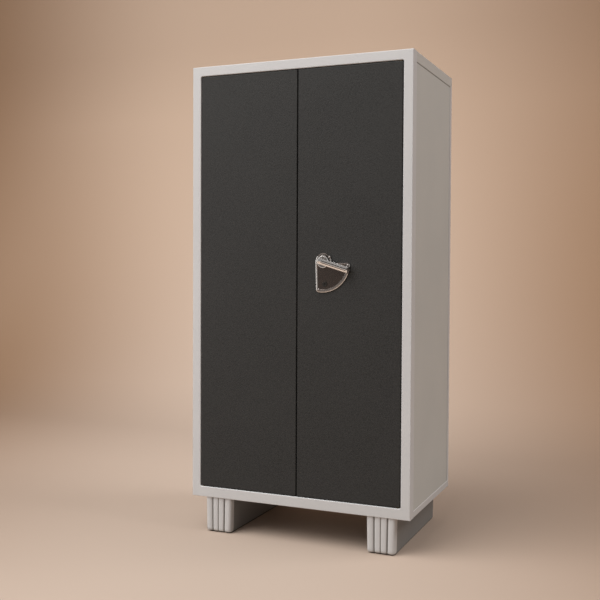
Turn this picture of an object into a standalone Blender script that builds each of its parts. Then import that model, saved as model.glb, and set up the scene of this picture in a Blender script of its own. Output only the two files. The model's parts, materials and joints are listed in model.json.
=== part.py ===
"""Two-door steel wardrobe on ribbed feet, with a lever-worked three-way lock.

Metres, +Z up, the front faces -Y. The origin is on the floor, in the middle of
the wardrobe's width and of its depth with the lever handle included.
"""
import math

import bmesh
import bpy
from mathutils import Matrix, Vector

# Allowances shared by all pieces
fit_gap = 0.0003
overrun = 0.010
weld_distance = 0.00001
sheet = 0.0009
fold_radius = 0.0025
fold_segments = 3
round_steps = 24
small_steps = 16
arc_segments = 5

# Cabinet body
cabinet_width = 0.978
cabinet_depth = 0.585
body_height = 1.830
foot_height = 0.150

# Front frame, mitred from four folded channels
stile_width = 0.039
top_rail_height = 0.0396
bottom_rail_height = 0.0436
frame_wrap = 0.045
frame_return = 0.030
stop_lip = 0.006
opening_radius = 0.006
lip_roll = 0.003

# Cover sheets that lap over the side panels
cap_flange = 0.0415
pan_flange = 0.028
back_flange = 0.028
panel_lap = 0.010

# Doors, each a folded pan
door_gap = 0.003
meeting_gap = 0.004
door_recess = 0.002
door_depth = 0.022
door_lip = 0.012
door_corner = 0.004
lip_corner = 0.001
door_edge_radius = 0.0035
edge_steps = 4
stiffener_place_share = 0.64
stiffener_half = 0.020
stiffener_rise = 0.014
stiffener_foot = 0.012
stiffener_margin = 0.040

# Pivot hinges, a pin and a bush at the top and bottom of each door
pivot_inset = 0.010
pivot_depth = 0.009
pin_radius = 0.0035
pin_length = 0.020
pin_head_radius = 0.0065
pin_head_height = 0.003
bush_wall = 0.0017
bush_collar_radius = 0.0080
bush_collar_height = 0.0020
bush_length = 0.009

# Lever handle and its plate
handle_offset = 0.119
handle_rise = 1.0085
lever_tilt = math.radians(16.6)
handle_swing = math.radians(70.0)
plate_boss_radius = 0.0345
plate_arc_radius = 0.1204
plate_arc_shift_x = 0.006
plate_arc_shift_z = 0.003
plate_foot_x = 0.031
plate_arc_steps = 14
plate_boss_steps = 16
plate_top_drop = 0.005
plate_corner = 0.010
plate_joint_radius = 0.008
plate_joint_angle = math.radians(24.0)
plate_thickness = 0.0032
plate_rim = 0.0018
rim_shoulder = 0.0025
rim_width = 0.0045
arc_rim_width = 0.011
rim_fall = 0.0016
rim_rise = 0.0012
flat_angle = math.radians(1.0)
plate_hole_radius = 0.008
hub_radius = 0.0247
hub_height = 0.009
hub_edge = 0.003
hub_neck_radius = 0.0085
hub_steps = 32
lever_length = 0.1177
lever_heel = 0.0205
lever_heel_half = 0.0115
lever_tip_half = 0.0135
lever_thickness = 0.017
lever_edge = 0.0048
lever_segments = 4
lever_back_edge = 0.0020
lever_sink = 0.001
heel_round_share = 0.85
lever_end_radius = 0.007
lever_groove_width = 0.0034
lever_groove_depth = 0.0022
lever_groove_start = 0.004
lever_groove_end = 0.012
spindle_side = 0.008
spindle_socket = 0.0075
journal_radius = 0.0042

# Plate screws
screw_head_radius = 0.0052
screw_head_height = 0.0022
screw_radius = 0.0020
screw_length = 0.010
screw_slot_width = 0.0011
screw_slot_depth = 0.0010
dome_share = 0.88
screw_boss_angle = math.radians(35.0)
screw_names = ("foot", "tip", "boss")

# Key lock below the lever
key_offset = 0.006
key_drop = 0.090
barrel_radius = 0.008
barrel_face_radius = 0.0105
barrel_face_height = 0.0018
plug_radius = 0.0050
key_slot_width = 0.0016
key_slot_height = 0.0066
key_slot_depth = 0.006
plug_tail = 0.006
tongue_length = 0.036
tongue_half = 0.0050
tongue_root_half = 0.0070

# Three-way lock mechanism, in layers behind the door skin
rod_throw = 0.020
crank_pin_radius = 0.0030
slot_clearance = 0.0005
yoke_play = 0.0008
pin_stand = 0.0002
cam_standoff = 0.005
layer_gap = 0.0005
cam_thickness = 0.003
cam_radius = 0.0235
cam_boss_radius = 0.009
nose_length = 0.060
nose_half = 0.006
nose_root_half = 0.012
cam_steps = 28
rod_width = 0.012
rod_thickness = 0.003
rod_inner_edge = 0.014
yoke_inner_edge = 0.0075
yoke_wall = 0.004
rod_tip_chamfer = 0.003
bolt_height = 0.012
bolt_thickness = 0.003
running_gap = 0.0006
bolt_corner = 0.0015
bridge_half = 0.038
bridge_height = 0.014
bridge_foot = 0.012
strap_wall = 0.002
guide_length = 0.020
guide_foot = 0.010
guide_inset = 0.070
bolt_guide_place = 0.050

# Feet
foot_outer_inset = 0.062
foot_top_width = 0.122
foot_taper = 0.003
foot_setback = 0.006
foot_length = 0.570
foot_wall = 0.0012
foot_corner = 0.008
cover_depth = 0.030
cover_proud = 0.0015
outer_rib_width = 0.0315
groove_width = 0.0030
outer_rib_bulge = 0.014
deep_groove = 0.009
shallow_groove = 0.005
rib_steps = 8
outer_rib_power = 2.4
inner_rib_power = 3.2
cover_toe_radius = 0.014
toe_steps = 4
toe_side_share = 0.25
toe_front_share = 0.5
sole_height = 0.004
sole_inset = 0.004
sole_corner = 0.012

# Inside of the cabinet
hat_shelf_rise = 1.470
shelf_setback = 0.060
shelf_back_gap = 0.010
shelf_flange = 0.022
ledge_leg = 0.020
ledge_wall = 0.0015
partition_offset = 0.060
partition_flange = 0.015
rod_socket_drop = 0.075
hanging_rod_radius = 0.0125
hanging_rod_wall = 0.0012
socket_wall = 0.0025
socket_depth = 0.012
socket_flange_radius = 0.026
socket_flange_height = 0.003
pilaster_half = 0.008
pilaster_rise = 0.007
pilaster_foot = 0.007
pilaster_wall = 0.0012
pilaster_margin = 0.040
pilaster_end_inset = 0.060
slot_pitch = 0.100
pilaster_slot_width = 0.0035
pilaster_slot_height = 0.014
tab_width = 0.0020
tab_height = 0.010
tab_reach = 0.004
shelf_slots = {"shelf_lower": 3, "shelf_middle": 6, "shelf_upper": 10}

# Finishes: linear colour, roughness, metallic
finishes = {
    "frame_paint": ((0.53, 0.50, 0.47), 0.42, 0.0),
    "door_paint": ((0.040, 0.039, 0.036), 0.55, 0.0),
    "chrome_plate": ((0.62, 0.60, 0.58), 0.10, 1.0),
    "lock_steel": ((0.36, 0.35, 0.34), 0.34, 1.0),
    "brass_bush": ((0.56, 0.42, 0.20), 0.36, 1.0),
    "foot_cover_paint": ((0.53, 0.50, 0.47), 0.45, 0.0),
    "sole_rubber": ((0.02, 0.02, 0.02), 0.85, 0.0),
    "lock_black": ((0.03, 0.03, 0.03), 0.35, 1.0),
}

# Places worked out from the sizes above
half_width = cabinet_width / 2
plate_back = -fit_gap
plate_field = plate_back - plate_thickness
plate_front = plate_field - plate_rim
hub_back = plate_field - layer_gap
hub_front = hub_back - hub_height
lever_front = hub_front - lever_thickness
handle_reach = -lever_front - door_recess
front_y = (handle_reach - cabinet_depth) / 2
back_y = front_y + cabinet_depth
body_low = foot_height
body_high = foot_height + body_height
opening_half = half_width - stile_width
opening_low = body_low + bottom_rail_height
opening_high = body_high - top_rail_height
door_front = front_y + door_recess
skin_back = door_front + sheet
door_low = opening_low + door_gap
door_high = opening_high - door_gap
door_outer = opening_half - door_gap
door_inner = meeting_gap / 2
pivot_x = door_outer - pivot_inset
pivot_y = door_front + pivot_depth
lock_x = handle_offset
lock_z = body_low + handle_rise
key_x = lock_x + key_offset
key_z = lock_z - key_drop
crank_radius = rod_throw / (2 * math.sin(handle_swing / 2))
side_inner = half_width - sheet - fit_gap - sheet
cam_front = skin_back + cam_standoff
cam_back = cam_front + cam_thickness
rod_front = cam_back + layer_gap
rod_back = rod_front + rod_thickness
bolt_front = rod_back + layer_gap
bolt_back = bolt_front + bolt_thickness
bridge_front = bolt_back + layer_gap * 2
bridge_back = bridge_front + strap_wall
crank_near = crank_radius * math.cos(handle_swing / 2)
crank_rise = crank_radius * math.sin(handle_swing / 2)
bolt_z = lock_z - (crank_radius + crank_near) / 2
half_turn = math.pi
quarter_turn = math.pi / 2
front_view = (quarter_turn, 0, 0)
cam_angle = 3 * quarter_turn + handle_swing / 2

body_places = {
    "left_door": Vector((-pivot_x, pivot_y, door_low)),
    "right_door": Vector((pivot_x, pivot_y, door_low)),
    "handle": Vector((lock_x, door_front, lock_z)),
    "key": Vector((key_x, door_front, key_z)),
    "top_rod": Vector((lock_x, rod_front, lock_z)),
    "bottom_rod": Vector((lock_x, rod_front, lock_z)),
    "side_bolt": Vector((lock_x, bolt_front, bolt_z)),
}
body_parents = {
    "handle": "right_door",
    "key": "right_door",
    "top_rod": "right_door",
    "bottom_rod": "right_door",
    "side_bolt": "right_door",
}


def clear_scene():
    """Start from an empty scene."""
    for obj in list(bpy.data.objects):
        bpy.data.objects.remove(obj, do_unlink=True)


def make_collection(name):
    """A collection linked to the scene."""
    collection = bpy.data.collections.new(name)
    bpy.context.scene.collection.children.link(collection)
    return collection


def make_material(piece_name, finish):
    """A Principled material of a piece, in one of the finishes."""
    colour, roughness, metallic = finishes[finish]
    material = bpy.data.materials.new(piece_name + "_" + finish)
    material.use_nodes = True
    shader = material.node_tree.nodes["Principled BSDF"]
    shader.inputs["Base Color"].default_value = (*colour, 1)
    shader.inputs["Roughness"].default_value = roughness
    shader.inputs["Metallic"].default_value = metallic
    material.diffuse_color = (*colour, 1)
    return material


def make_body(name):
    """An empty on the joint axis of a moving body."""
    empty = bpy.data.objects.new(name + "_axis", None)
    parts.objects.link(empty)
    place = body_places[name]
    if name in body_parents:
        parent = body_parents[name]
        empty.parent = bodies[parent]
        place = place - body_places[parent]
    empty.location = place
    bodies[name] = empty


def add_piece(name, mesh, finish, place=(0, 0, 0), turn=(0, 0, 0), body=None):
    """One named piece, set at a world place and carried by its body."""
    mesh.name = name
    mesh.materials.clear()
    mesh.materials.append(make_material(name, finish))
    piece = bpy.data.objects.new(name, mesh)
    parts.objects.link(piece)
    piece.rotation_euler = turn
    location = Vector(place)
    if body:
        piece.parent = bodies[body]
        location = location - body_places[body]
    piece.location = location
    return piece


def mesh_of(bm, name):
    """The finished mesh of a bmesh."""
    mesh = bpy.data.meshes.new(name)
    bm.to_mesh(mesh)
    bm.free()
    return mesh


def closed_mesh(bm, name):
    """Like mesh_of, with every face of a closed body turned outwards."""
    bmesh.ops.recalc_face_normals(bm, faces=bm.faces)
    return mesh_of(bm, name)


def smooth(piece):
    """Smooth shading between faces that meet at a small angle."""
    piece.data.shade_smooth()
    piece.data.set_sharp_from_angle(angle=math.radians(30))


def rounded(corners, segments=arc_segments):
    """Outline points, each corner (x, y, radius) turned into an arc."""
    points = []
    count = len(corners)
    for index, (x, y, radius) in enumerate(corners):
        corner = Vector((x, y))
        if radius <= 0:
            points.append((x, y))
            continue
        before = Vector(corners[index - 1][:2]) - corner
        after = Vector(corners[(index + 1) % count][:2]) - corner
        before.normalize()
        after.normalize()
        half_angle = before.angle(after) / 2
        centre = corner + (before + after).normalized() * (radius / math.sin(half_angle))
        start = corner + before * (radius / math.tan(half_angle)) - centre
        end = corner + after * (radius / math.tan(half_angle)) - centre
        sweep = start.angle_signed(end)
        for step in range(segments + 1):
            turned = start.copy()
            turned.rotate(Matrix.Rotation(-sweep * step / segments, 2))
            points.append(tuple(centre + turned))
    return points


def box_points(low, high):
    """The four corners of an upright rectangle."""
    return [(low[0], low[1]), (high[0], low[1]), (high[0], high[1]), (low[0], high[1])]


def outline_mesh(name, outlines, thickness):
    """A flat outline with its holes, given a thickness about its own plane."""
    curve = bpy.data.curves.new(name, "CURVE")
    curve.dimensions = "2D"
    curve.fill_mode = "BOTH"
    curve.extrude = thickness / 2
    for points in outlines:
        spline = curve.splines.new("POLY")
        spline.points.add(len(points) - 1)
        for point, (x, y) in zip(spline.points, points):
            point.co = (x, y, 0, 1)
        spline.use_cyclic_u = True
    holder = bpy.data.objects.new(name, curve)
    bpy.context.scene.collection.objects.link(holder)
    graph = bpy.context.evaluated_depsgraph_get()
    mesh = bpy.data.meshes.new_from_object(holder.evaluated_get(graph))
    bpy.data.objects.remove(holder)
    bpy.data.curves.remove(curve)
    bm = bmesh.new()
    bm.from_mesh(mesh)
    bpy.data.meshes.remove(mesh)
    bmesh.ops.remove_doubles(bm, verts=bm.verts, dist=weld_distance)
    return closed_mesh(bm, name)


def hat_points(half, rise, foot, wall):
    """Section of a strap folded over a gap: two feet, two legs and a crown."""
    outer = half + wall
    reach = outer + foot
    return [
        (-reach, 0), (-half, 0), (-half, rise), (half, rise), (half, 0), (reach, 0),
        (reach, wall), (outer, wall), (outer, rise + wall), (-outer, rise + wall),
        (-outer, wall), (-reach, wall),
    ]


def box_between(bm, low, high):
    """A box from one corner to the opposite one."""
    low = Vector(low)
    size = Vector(high) - low
    matrix = Matrix.Translation(low + size / 2) @ Matrix.Diagonal((*size, 1))
    return bmesh.ops.create_cube(bm, size=1, matrix=matrix)


def rod_between(bm, start, end, radius, steps=small_steps):
    """A round bar from one point to another."""
    start = Vector(start)
    run = Vector(end) - start
    turn = run.to_track_quat("Z", "Y").to_matrix().to_4x4()
    matrix = Matrix.Translation(start + run / 2) @ turn
    bmesh.ops.create_cone(bm, cap_ends=True, segments=steps, radius1=radius,
                          radius2=radius, depth=run.length, matrix=matrix)


def make_cutter(name, boxes=(), rods=(), mesh=None, place=(0, 0, 0), turn=(0, 0, 0)):
    """One cutter of boxes and round bars, or of a ready mesh."""
    if mesh is None:
        bm = bmesh.new()
        for low, high in boxes:
            box_between(bm, low, high)
        for start, end, radius in rods:
            rod_between(bm, start, end, radius)
        mesh = mesh_of(bm, name)
    cutter = bpy.data.objects.new(name, mesh)
    cutters.objects.link(cutter)
    cutter.location = place
    cutter.rotation_euler = turn
    cutter.hide_render = True
    cutter.display_type = "WIRE"
    return cutter


def combine(piece, other, operation="DIFFERENCE"):
    """A Boolean of a piece with a cutter or a guide body."""
    modifier = piece.modifiers.new(operation.lower(), "BOOLEAN")
    modifier.operation = operation
    modifier.solver = "EXACT"
    modifier.object = other


def give_wall(piece, wall=sheet):
    """The thickness of a folded sheet, laid inside its outer face."""
    modifier = piece.modifiers.new("wall", "SOLIDIFY")
    modifier.thickness = wall
    modifier.offset = -1
    modifier.use_even_offset = True


def face_towards(bm, direction):
    """The faces that look in a direction."""
    direction = Vector(direction)
    return [face for face in bm.faces if face.normal.dot(direction) > 1 - weld_distance]


def bevel_where(bm, test, radius, segments=fold_segments):
    """Round every fold that passes a test on its two ends."""
    folds = [edge for edge in bm.edges if len(edge.link_faces) == 2]
    edges = [edge for edge in folds if test(edge.verts[0].co, edge.verts[1].co)]
    bmesh.ops.bevel(bm, geom=edges, offset=radius, segments=segments, profile=0.5,
                    affect="EDGES", clamp_overlap=True)


def anywhere(start, end):
    """A test that every edge passes."""
    return True


def on_plane(axis, value):
    """A test for edges that lie in a plane across an axis."""
    def test(start, end):
        return abs(start[axis] - value) < weld_distance and abs(end[axis] - value) < weld_distance
    return test


def along_axis(axis):
    """A test for edges that run along an axis."""
    def test(start, end):
        across = end - start
        across[axis] = 0
        return across.length < weld_distance
    return test


def folded_tray(name, low, high, open_sides, folds=((anywhere, fold_radius),)):
    """A box of sheet with open sides and rounded folds."""
    bm = bmesh.new()
    box_between(bm, low, high)
    bm.normal_update()
    for side in open_sides:
        bmesh.ops.delete(bm, geom=face_towards(bm, side), context="FACES")
    for test, radius in folds:
        bevel_where(bm, test, radius)
    return mesh_of(bm, name)


def turned_piece(name, profile, finish, place, turn=(0, 0, 0), body=None, steps=round_steps):
    """A turned piece: its outer profile runs from the top down."""
    mesh = bpy.data.meshes.new(name)
    points = [(radius, 0, height) for radius, height in profile]
    edges = [(index, index + 1) for index in range(len(points) - 1)]
    if profile[0][0] > 0:
        edges.append((len(points) - 1, 0))
    mesh.from_pydata(points, edges, [])
    piece = add_piece(name, mesh, finish, place, turn, body)
    modifier = piece.modifiers.new("turn", "SCREW")
    modifier.axis = "Z"
    modifier.angle = 2 * math.pi
    modifier.steps = steps
    modifier.render_steps = steps
    modifier.use_merge_vertices = True
    modifier.merge_threshold = weld_distance
    modifier.use_smooth_shade = True
    return piece


def loft(bm, rings, first_face=False, last_face=False):
    """Faces from each ring of points to the next, and end faces where asked for."""
    rows = [[bm.verts.new(point) for point in ring] for ring in rings]
    for row, following in zip(rows, rows[1:]):
        for index in range(len(row)):
            bm.faces.new((row[index - 1], row[index], following[index], following[index - 1]))
    if first_face:
        bm.faces.new(rows[0][::-1])
    if last_face:
        bm.faces.new(rows[-1])


def front_ring_mesh():
    """The whole front frame before it is cut at its mitres."""
    lip_half = opening_half - stop_lip
    stations = [
        ((-half_width, body_low), (half_width, body_high), frame_wrap),
        ((-half_width, body_low), (half_width, body_high), 0),
        ((-opening_half, opening_low), (opening_half, opening_high), 0),
        ((-opening_half, opening_low), (opening_half, opening_high), frame_return),
        ((-lip_half, opening_low + stop_lip), (lip_half, opening_high - stop_lip), frame_return),
    ]
    rings = [[(x, front_y + depth, z) for x, z in box_points(low, high)] for low, high, depth in stations]
    bm = bmesh.new()
    loft(bm, rings)
    front = on_plane(1, front_y)
    runs_back = along_axis(1)

    def inner_corner(start, end):
        return runs_back(start, end) and abs(start.x) < half_width - weld_distance

    def inner_edge(start, end):
        within = max(abs(start.x), abs(end.x)) < opening_half + weld_distance
        return front(start, end) and within and min(start.z, end.z) > opening_low - weld_distance

    def outer_edge(start, end):
        straight = on_plane(0, start.x)(start, end) or on_plane(2, start.z)(start, end)
        outside = abs(start.x) > half_width - weld_distance and abs(end.x) > half_width - weld_distance
        return front(start, end) and straight and outside

    bevel_where(bm, inner_corner, opening_radius)
    bevel_where(bm, inner_edge, lip_roll)
    bevel_where(bm, outer_edge, fold_radius)
    return mesh_of(bm, "front_ring")


def mitre_points(side):
    """The wedge of the front that one frame member takes, in x and z."""
    outer = box_points((-half_width, body_low), (half_width, body_high))
    inner = box_points((-opening_half, opening_low), (opening_half, opening_high))
    ends = (side, (side + 1) % len(outer))
    points = []
    for index, other in (ends, ends[::-1]):
        corner = Vector(outer[index])
        run = (Vector(inner[index]) - corner).normalized()
        across = Vector((run.y, -run.x)) * fit_gap / 2
        if across.dot(Vector(outer[other]) - corner) < 0:
            across.negate()
        near = corner - run * 2 * overrun + across
        far = Vector(inner[index]) + run * 2 * overrun + across
        pair = (near, far) if index == side else (far, near)
        points.extend(tuple(point) for point in pair)
    return points


def pivot_cut(side, low, high):
    """The hole for a bush or a pin on a door's hinge line."""
    x = side * pivot_x
    return (x, pivot_y, low), (x, pivot_y, high)


def rod_middle(sign):
    """Where the middle of the top rod, 1, or the bottom rod, -1, runs in x."""
    return lock_x - sign * (rod_inner_edge + rod_width / 2)


def rod_slot_box(sign, level):
    """The slot that a rod passes through in a flange at a level."""
    half = rod_width / 2 + running_gap
    x = rod_middle(sign)
    low = (x - half, rod_front - running_gap, level - overrun)
    high = (x + half, rod_back + running_gap, level + overrun)
    return low, high


def bolt_slot_box(low_x, high_x):
    """The slot that the side bolt passes through in a door flange."""
    half = bolt_height / 2 + running_gap
    low = (low_x, bolt_front - running_gap, bolt_z - half)
    high = (high_x, bolt_back + running_gap, bolt_z + half)
    return low, high


def make_front_frame():
    """Two stiles and two rails, mitred where they meet."""
    names = ("front_rail_bottom", "front_stile_right", "front_rail_top", "front_stile_left")
    ring = front_ring_mesh()
    middle_y = front_y + frame_wrap / 2
    for side, name in enumerate(names):
        piece = add_piece(name, ring.copy(), "frame_paint")
        give_wall(piece)
        wedge = outline_mesh(name + "_wedge", [mitre_points(side)], frame_wrap + 2 * overrun)
        guide = make_cutter(name + "_wedge", mesh=wedge, place=(0, middle_y, 0), turn=front_view)
        combine(piece, guide, "INTERSECT")
        if side % 2 == 0:
            level = opening_low if side == 0 else opening_high
            rods = []
            for hand in (-1, 1):
                start, end = pivot_cut(hand, level - overrun, level + overrun)
                rods.append((start, end, pin_radius + fit_gap))
            sign = -1 if side == 0 else 1
            cuts = make_cutter(name + "_holes", boxes=[rod_slot_box(sign, level)], rods=rods)
            combine(piece, cuts)


def make_cover_sheets():
    """The top cap, the bottom pan, the back and the two side panels."""
    start_y = front_y + frame_wrap + fit_gap
    cap_low = body_high - cap_flange
    cap = folded_tray("top_cap", (-half_width, start_y, cap_low), (half_width, back_y, body_high),
                      [(0, 0, -1), (0, -1, 0)])
    give_wall(add_piece("top_cap", cap, "frame_paint"))
    pan_high = body_low + pan_flange
    pan = folded_tray("bottom_pan", (-half_width, start_y, body_low), (half_width, back_y, pan_high),
                      [(0, 0, 1), (0, -1, 0)])
    give_wall(add_piece("bottom_pan", pan, "frame_paint"))
    back = folded_tray("back_panel", (-half_width, back_y - back_flange, pan_high + fit_gap),
                       (half_width, back_y, cap_low - fit_gap), [(0, 0, 1), (0, 0, -1), (0, -1, 0)])
    give_wall(add_piece("back_panel", back, "frame_paint"))
    for hand, name in ((-1, "side_panel_left"), (1, "side_panel_right")):
        near, far = sorted((hand * side_inner, hand * (side_inner + sheet)))
        bm = bmesh.new()
        box_between(bm, (near, front_y + frame_wrap - panel_lap, pan_high - panel_lap),
                    (far, back_y - back_flange + panel_lap, cap_low + panel_lap))
        add_piece(name, mesh_of(bm, name), "frame_paint")


def rib_points():
    """Plan of a foot cover: four rounded ribs with grooves between them."""
    inner_rib_width = (foot_top_width - 2 * outer_rib_width - 3 * groove_width) / 2
    widths = (outer_rib_width, inner_rib_width, inner_rib_width, outer_rib_width)
    drops = (outer_rib_bulge, deep_groove, shallow_groove, deep_groove, outer_rib_bulge)
    powers = (outer_rib_power, inner_rib_power, inner_rib_power, outer_rib_power)
    points = []
    edge = -foot_top_width / 2
    for index, width in enumerate(widths):
        middle = edge + width / 2
        for step in range(2 * rib_steps + 1):
            angle = quarter_turn * (step / rib_steps - 1)
            drop = drops[index] if angle < 0 else drops[index + 1]
            across = abs(math.sin(angle)) ** (2 / powers[index])
            ahead = math.cos(angle) ** (2 / powers[index]) if abs(angle) < quarter_turn else 0
            x = middle + math.copysign(across, angle) * width / 2
            points.append((x, -(cover_depth - drop) - drop * ahead))
        edge += width + groove_width
    points.extend([(foot_top_width / 2, 0), (-foot_top_width / 2, 0)])
    return points


def cover_mesh(name, height):
    """A ribbed foot cover, tapered downwards and rounded at its toe."""
    half = foot_top_width / 2
    levels = []
    for step in range(toe_steps + 1):
        levels.append(cover_toe_radius * (1 - math.cos(quarter_turn * step / toe_steps)))
    levels.append(height)
    rings = []
    for level in levels:
        tuck = max(0, cover_toe_radius - level)
        shrink = cover_toe_radius - math.sqrt(cover_toe_radius ** 2 - tuck ** 2)
        width = 1 - (foot_taper * (1 - level / height) + shrink * toe_side_share) / half
        depth = 1 - shrink * toe_front_share / cover_depth
        rings.append([(x * width, y * depth, level) for x, y in rib_points()])
    bm = bmesh.new()
    loft(bm, rings, first_face=True, last_face=True)
    return mesh_of(bm, name)


def make_foot(side_name, hand):
    """A folded foot, its ribbed front cover and its rubber sole."""
    half = foot_top_width / 2
    middle = hand * (half_width - foot_outer_inset - half)
    front = front_y + foot_setback
    shell_front = front + cover_depth + fit_gap
    shell_back = front + foot_length
    low = sole_height + fit_gap
    high = body_low - fit_gap
    bm = bmesh.new()
    shell_half = half - cover_proud
    box_between(bm, (-shell_half, shell_front, low), (shell_half, shell_back, high))
    bm.normal_update()
    bmesh.ops.delete(bm, geom=face_towards(bm, (0, 0, -1)), context="FACES")
    for vert in bm.verts:
        if vert.co.z < low + weld_distance:
            vert.co.x *= 1 - foot_taper / shell_half
    rear = on_plane(1, shell_back)

    def rear_corner(start, end):
        return rear(start, end) and abs(start.z - end.z) > sheet

    bevel_where(bm, rear_corner, foot_corner)
    bevel_where(bm, on_plane(2, high), fold_radius)
    shell = add_piece("foot_" + side_name, mesh_of(bm, "foot"), "frame_paint", place=(middle, 0, 0))
    give_wall(shell, foot_wall)
    cover = add_piece("foot_cover_" + side_name, cover_mesh("foot_cover", high - low), "foot_cover_paint",
                      place=(middle, front + cover_depth, low))
    smooth(cover)
    inset = foot_taper + sole_inset
    corners = box_points((inset - half, front + cover_depth / 2), (half - inset, shell_back - sole_inset))
    outline = rounded([(x, y, sole_corner) for x, y in corners])
    add_piece("foot_sole_" + side_name, outline_mesh("foot_sole", [outline], sole_height), "sole_rubber",
              place=(middle, 0, sole_height / 2))


def door_ring(hand, inset, corner, depth):
    """Points round a door pan, rounded at its outer side, at a depth behind its front."""
    outer = hand * (door_outer - inset)
    inner = hand * (door_inner + inset)
    low = door_low + inset
    high = door_high - inset
    corners = [(inner, low, 0), (outer, low, corner), (outer, high, corner), (inner, high, 0)]
    if hand < 0:
        corners.reverse()
    return [(x, door_front + depth, z) for x, z in rounded(corners)]


def door_mesh(name, hand):
    """A door pan: skin with rounded edges, four flanges and a lip round the back."""
    rings = [
        door_ring(hand, door_lip, lip_corner, door_depth),
        door_ring(hand, 0, door_corner, door_depth),
    ]
    for step in range(edge_steps + 1):
        angle = quarter_turn * step / edge_steps
        inset = door_edge_radius * (1 - math.cos(angle))
        depth = door_edge_radius * (1 - math.sin(angle))
        rings.append(door_ring(hand, inset, door_corner - inset, depth))
    bm = bmesh.new()
    loft(bm, rings, last_face=True)
    return mesh_of(bm, name)


def make_doors():
    """Two door pans with the holes that pins, rods, bolt and lock need."""
    bush_hole = pin_radius + fit_gap + bush_wall + fit_gap
    for hand, side_name in ((-1, "left"), (1, "right")):
        body = side_name + "_door"
        name = side_name + "_door_panel"
        panel = add_piece(name, door_mesh(name, hand), "door_paint")
        hang(panel, body)
        give_wall(panel)
        rods = []
        for level in (door_low, door_high):
            start, end = pivot_cut(hand, level - overrun, level + overrun)
            rods.append((start, end, bush_hole))
        edge_x = hand * door_inner
        boxes = [bolt_slot_box(edge_x - overrun / 2, edge_x + overrun / 2)]
        if hand > 0:
            boxes.append(rod_slot_box(1, door_high))
            boxes.append(rod_slot_box(-1, door_low))
            skin = ((door_front - overrun / 2), (skin_back + overrun / 2))
            rods.append(((lock_x, skin[0], lock_z), (lock_x, skin[1], lock_z), cam_boss_radius))
            rods.append(((key_x, skin[0], key_z), (key_x, skin[1], key_z), barrel_radius + fit_gap))
            for x, z in screw_places():
                rods.append(((x, skin[0], z), (x, skin[1], z), screw_radius + fit_gap))
        combine(panel, make_cutter(name + "_holes", boxes=boxes, rods=rods))
        middle = hand * (door_inner + (door_outer - door_inner) * stiffener_place_share)
        low = door_low + stiffener_margin
        high = door_high - stiffener_margin
        section = hat_points(stiffener_half, stiffener_rise, stiffener_foot, sheet)
        stiffener = outline_mesh("stiffener", [section], high - low)
        add_piece(side_name + "_door_stiffener", stiffener, "door_paint",
                  place=(middle, skin_back + fit_gap, (low + high) / 2), body=body)


def hang(piece, body):
    """Carry a piece that was modelled at its world place."""
    piece.parent = bodies[body]
    piece.location = -body_places[body]


def make_hinges():
    """A headed pin in the frame and a flanged bush in the door, at each end."""
    bore = pin_radius + fit_gap
    sleeve = bore + bush_wall
    collar_high = fit_gap + bush_collar_height
    head_low = sheet + fit_gap
    pin_profile = [
        (0, head_low + pin_head_height), (pin_head_radius, head_low + pin_head_height),
        (pin_head_radius, head_low), (pin_radius, head_low), (pin_radius, -pin_length), (0, -pin_length),
    ]
    bush_profile = [
        (bush_collar_radius, collar_high), (bush_collar_radius, fit_gap), (sleeve, fit_gap),
        (sleeve, -bush_length), (bore, -bush_length), (bore, collar_high),
    ]
    for hand, side_name in ((-1, "left"), (1, "right")):
        for end_name, rail, door, turn in (
            ("top", opening_high, door_high, (0, 0, 0)),
            ("bottom", opening_low, door_low, (half_turn, 0, 0)),
        ):
            name = side_name + "_" + end_name + "_pivot"
            turned_piece(name + "_pin", pin_profile, "lock_steel", (hand * pivot_x, pivot_y, rail), turn,
                         steps=small_steps)
            turned_piece(name + "_bush", bush_profile, "brass_bush", (hand * pivot_x, pivot_y, door), turn,
                         body=side_name + "_door", steps=small_steps)


def plate_points(rim=0, arc_rim=0):
    """Front outline of the handle plate, or of its sunk field, about the lever's axis."""
    boss = plate_boss_radius - rim
    radius = plate_arc_radius - arc_rim
    left = plate_foot_x - rim
    drop = plate_top_drop + rim
    corner_radius = plate_corner - rim / 2
    start = -math.acos((plate_arc_shift_x - left) / radius)
    end = math.asin((plate_arc_shift_z - drop) / radius)
    corners = []
    for step in range(plate_arc_steps + 1):
        angle = start + (end - start) * step / plate_arc_steps
        corner = corner_radius if step in (0, plate_arc_steps) else 0
        corners.append((radius * math.cos(angle) - plate_arc_shift_x,
                        radius * math.sin(angle) - plate_arc_shift_z, corner))
    first = -math.asin(drop / boss)
    corners.append((boss * math.cos(first), boss * math.sin(first), plate_joint_radius))
    first += plate_joint_angle
    for step in range(plate_boss_steps + 1):
        angle = first + (half_turn - first) * step / plate_boss_steps
        corners.append((boss * math.cos(angle), boss * math.sin(angle), 0))
    return rounded(corners)


def screw_places():
    """World x and z of the three plate screws."""
    foot = (plate_corner - plate_foot_x, plate_corner - plate_arc_shift_z - plate_arc_radius)
    tip = (plate_arc_radius - plate_arc_shift_x - plate_corner, -plate_top_drop - plate_corner)
    reach = plate_boss_radius - rim_width / 2
    boss = (reach * math.cos(screw_boss_angle), reach * math.sin(screw_boss_angle))
    return [(lock_x + x, lock_z + z) for x, z in (foot, tip, boss)]


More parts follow.
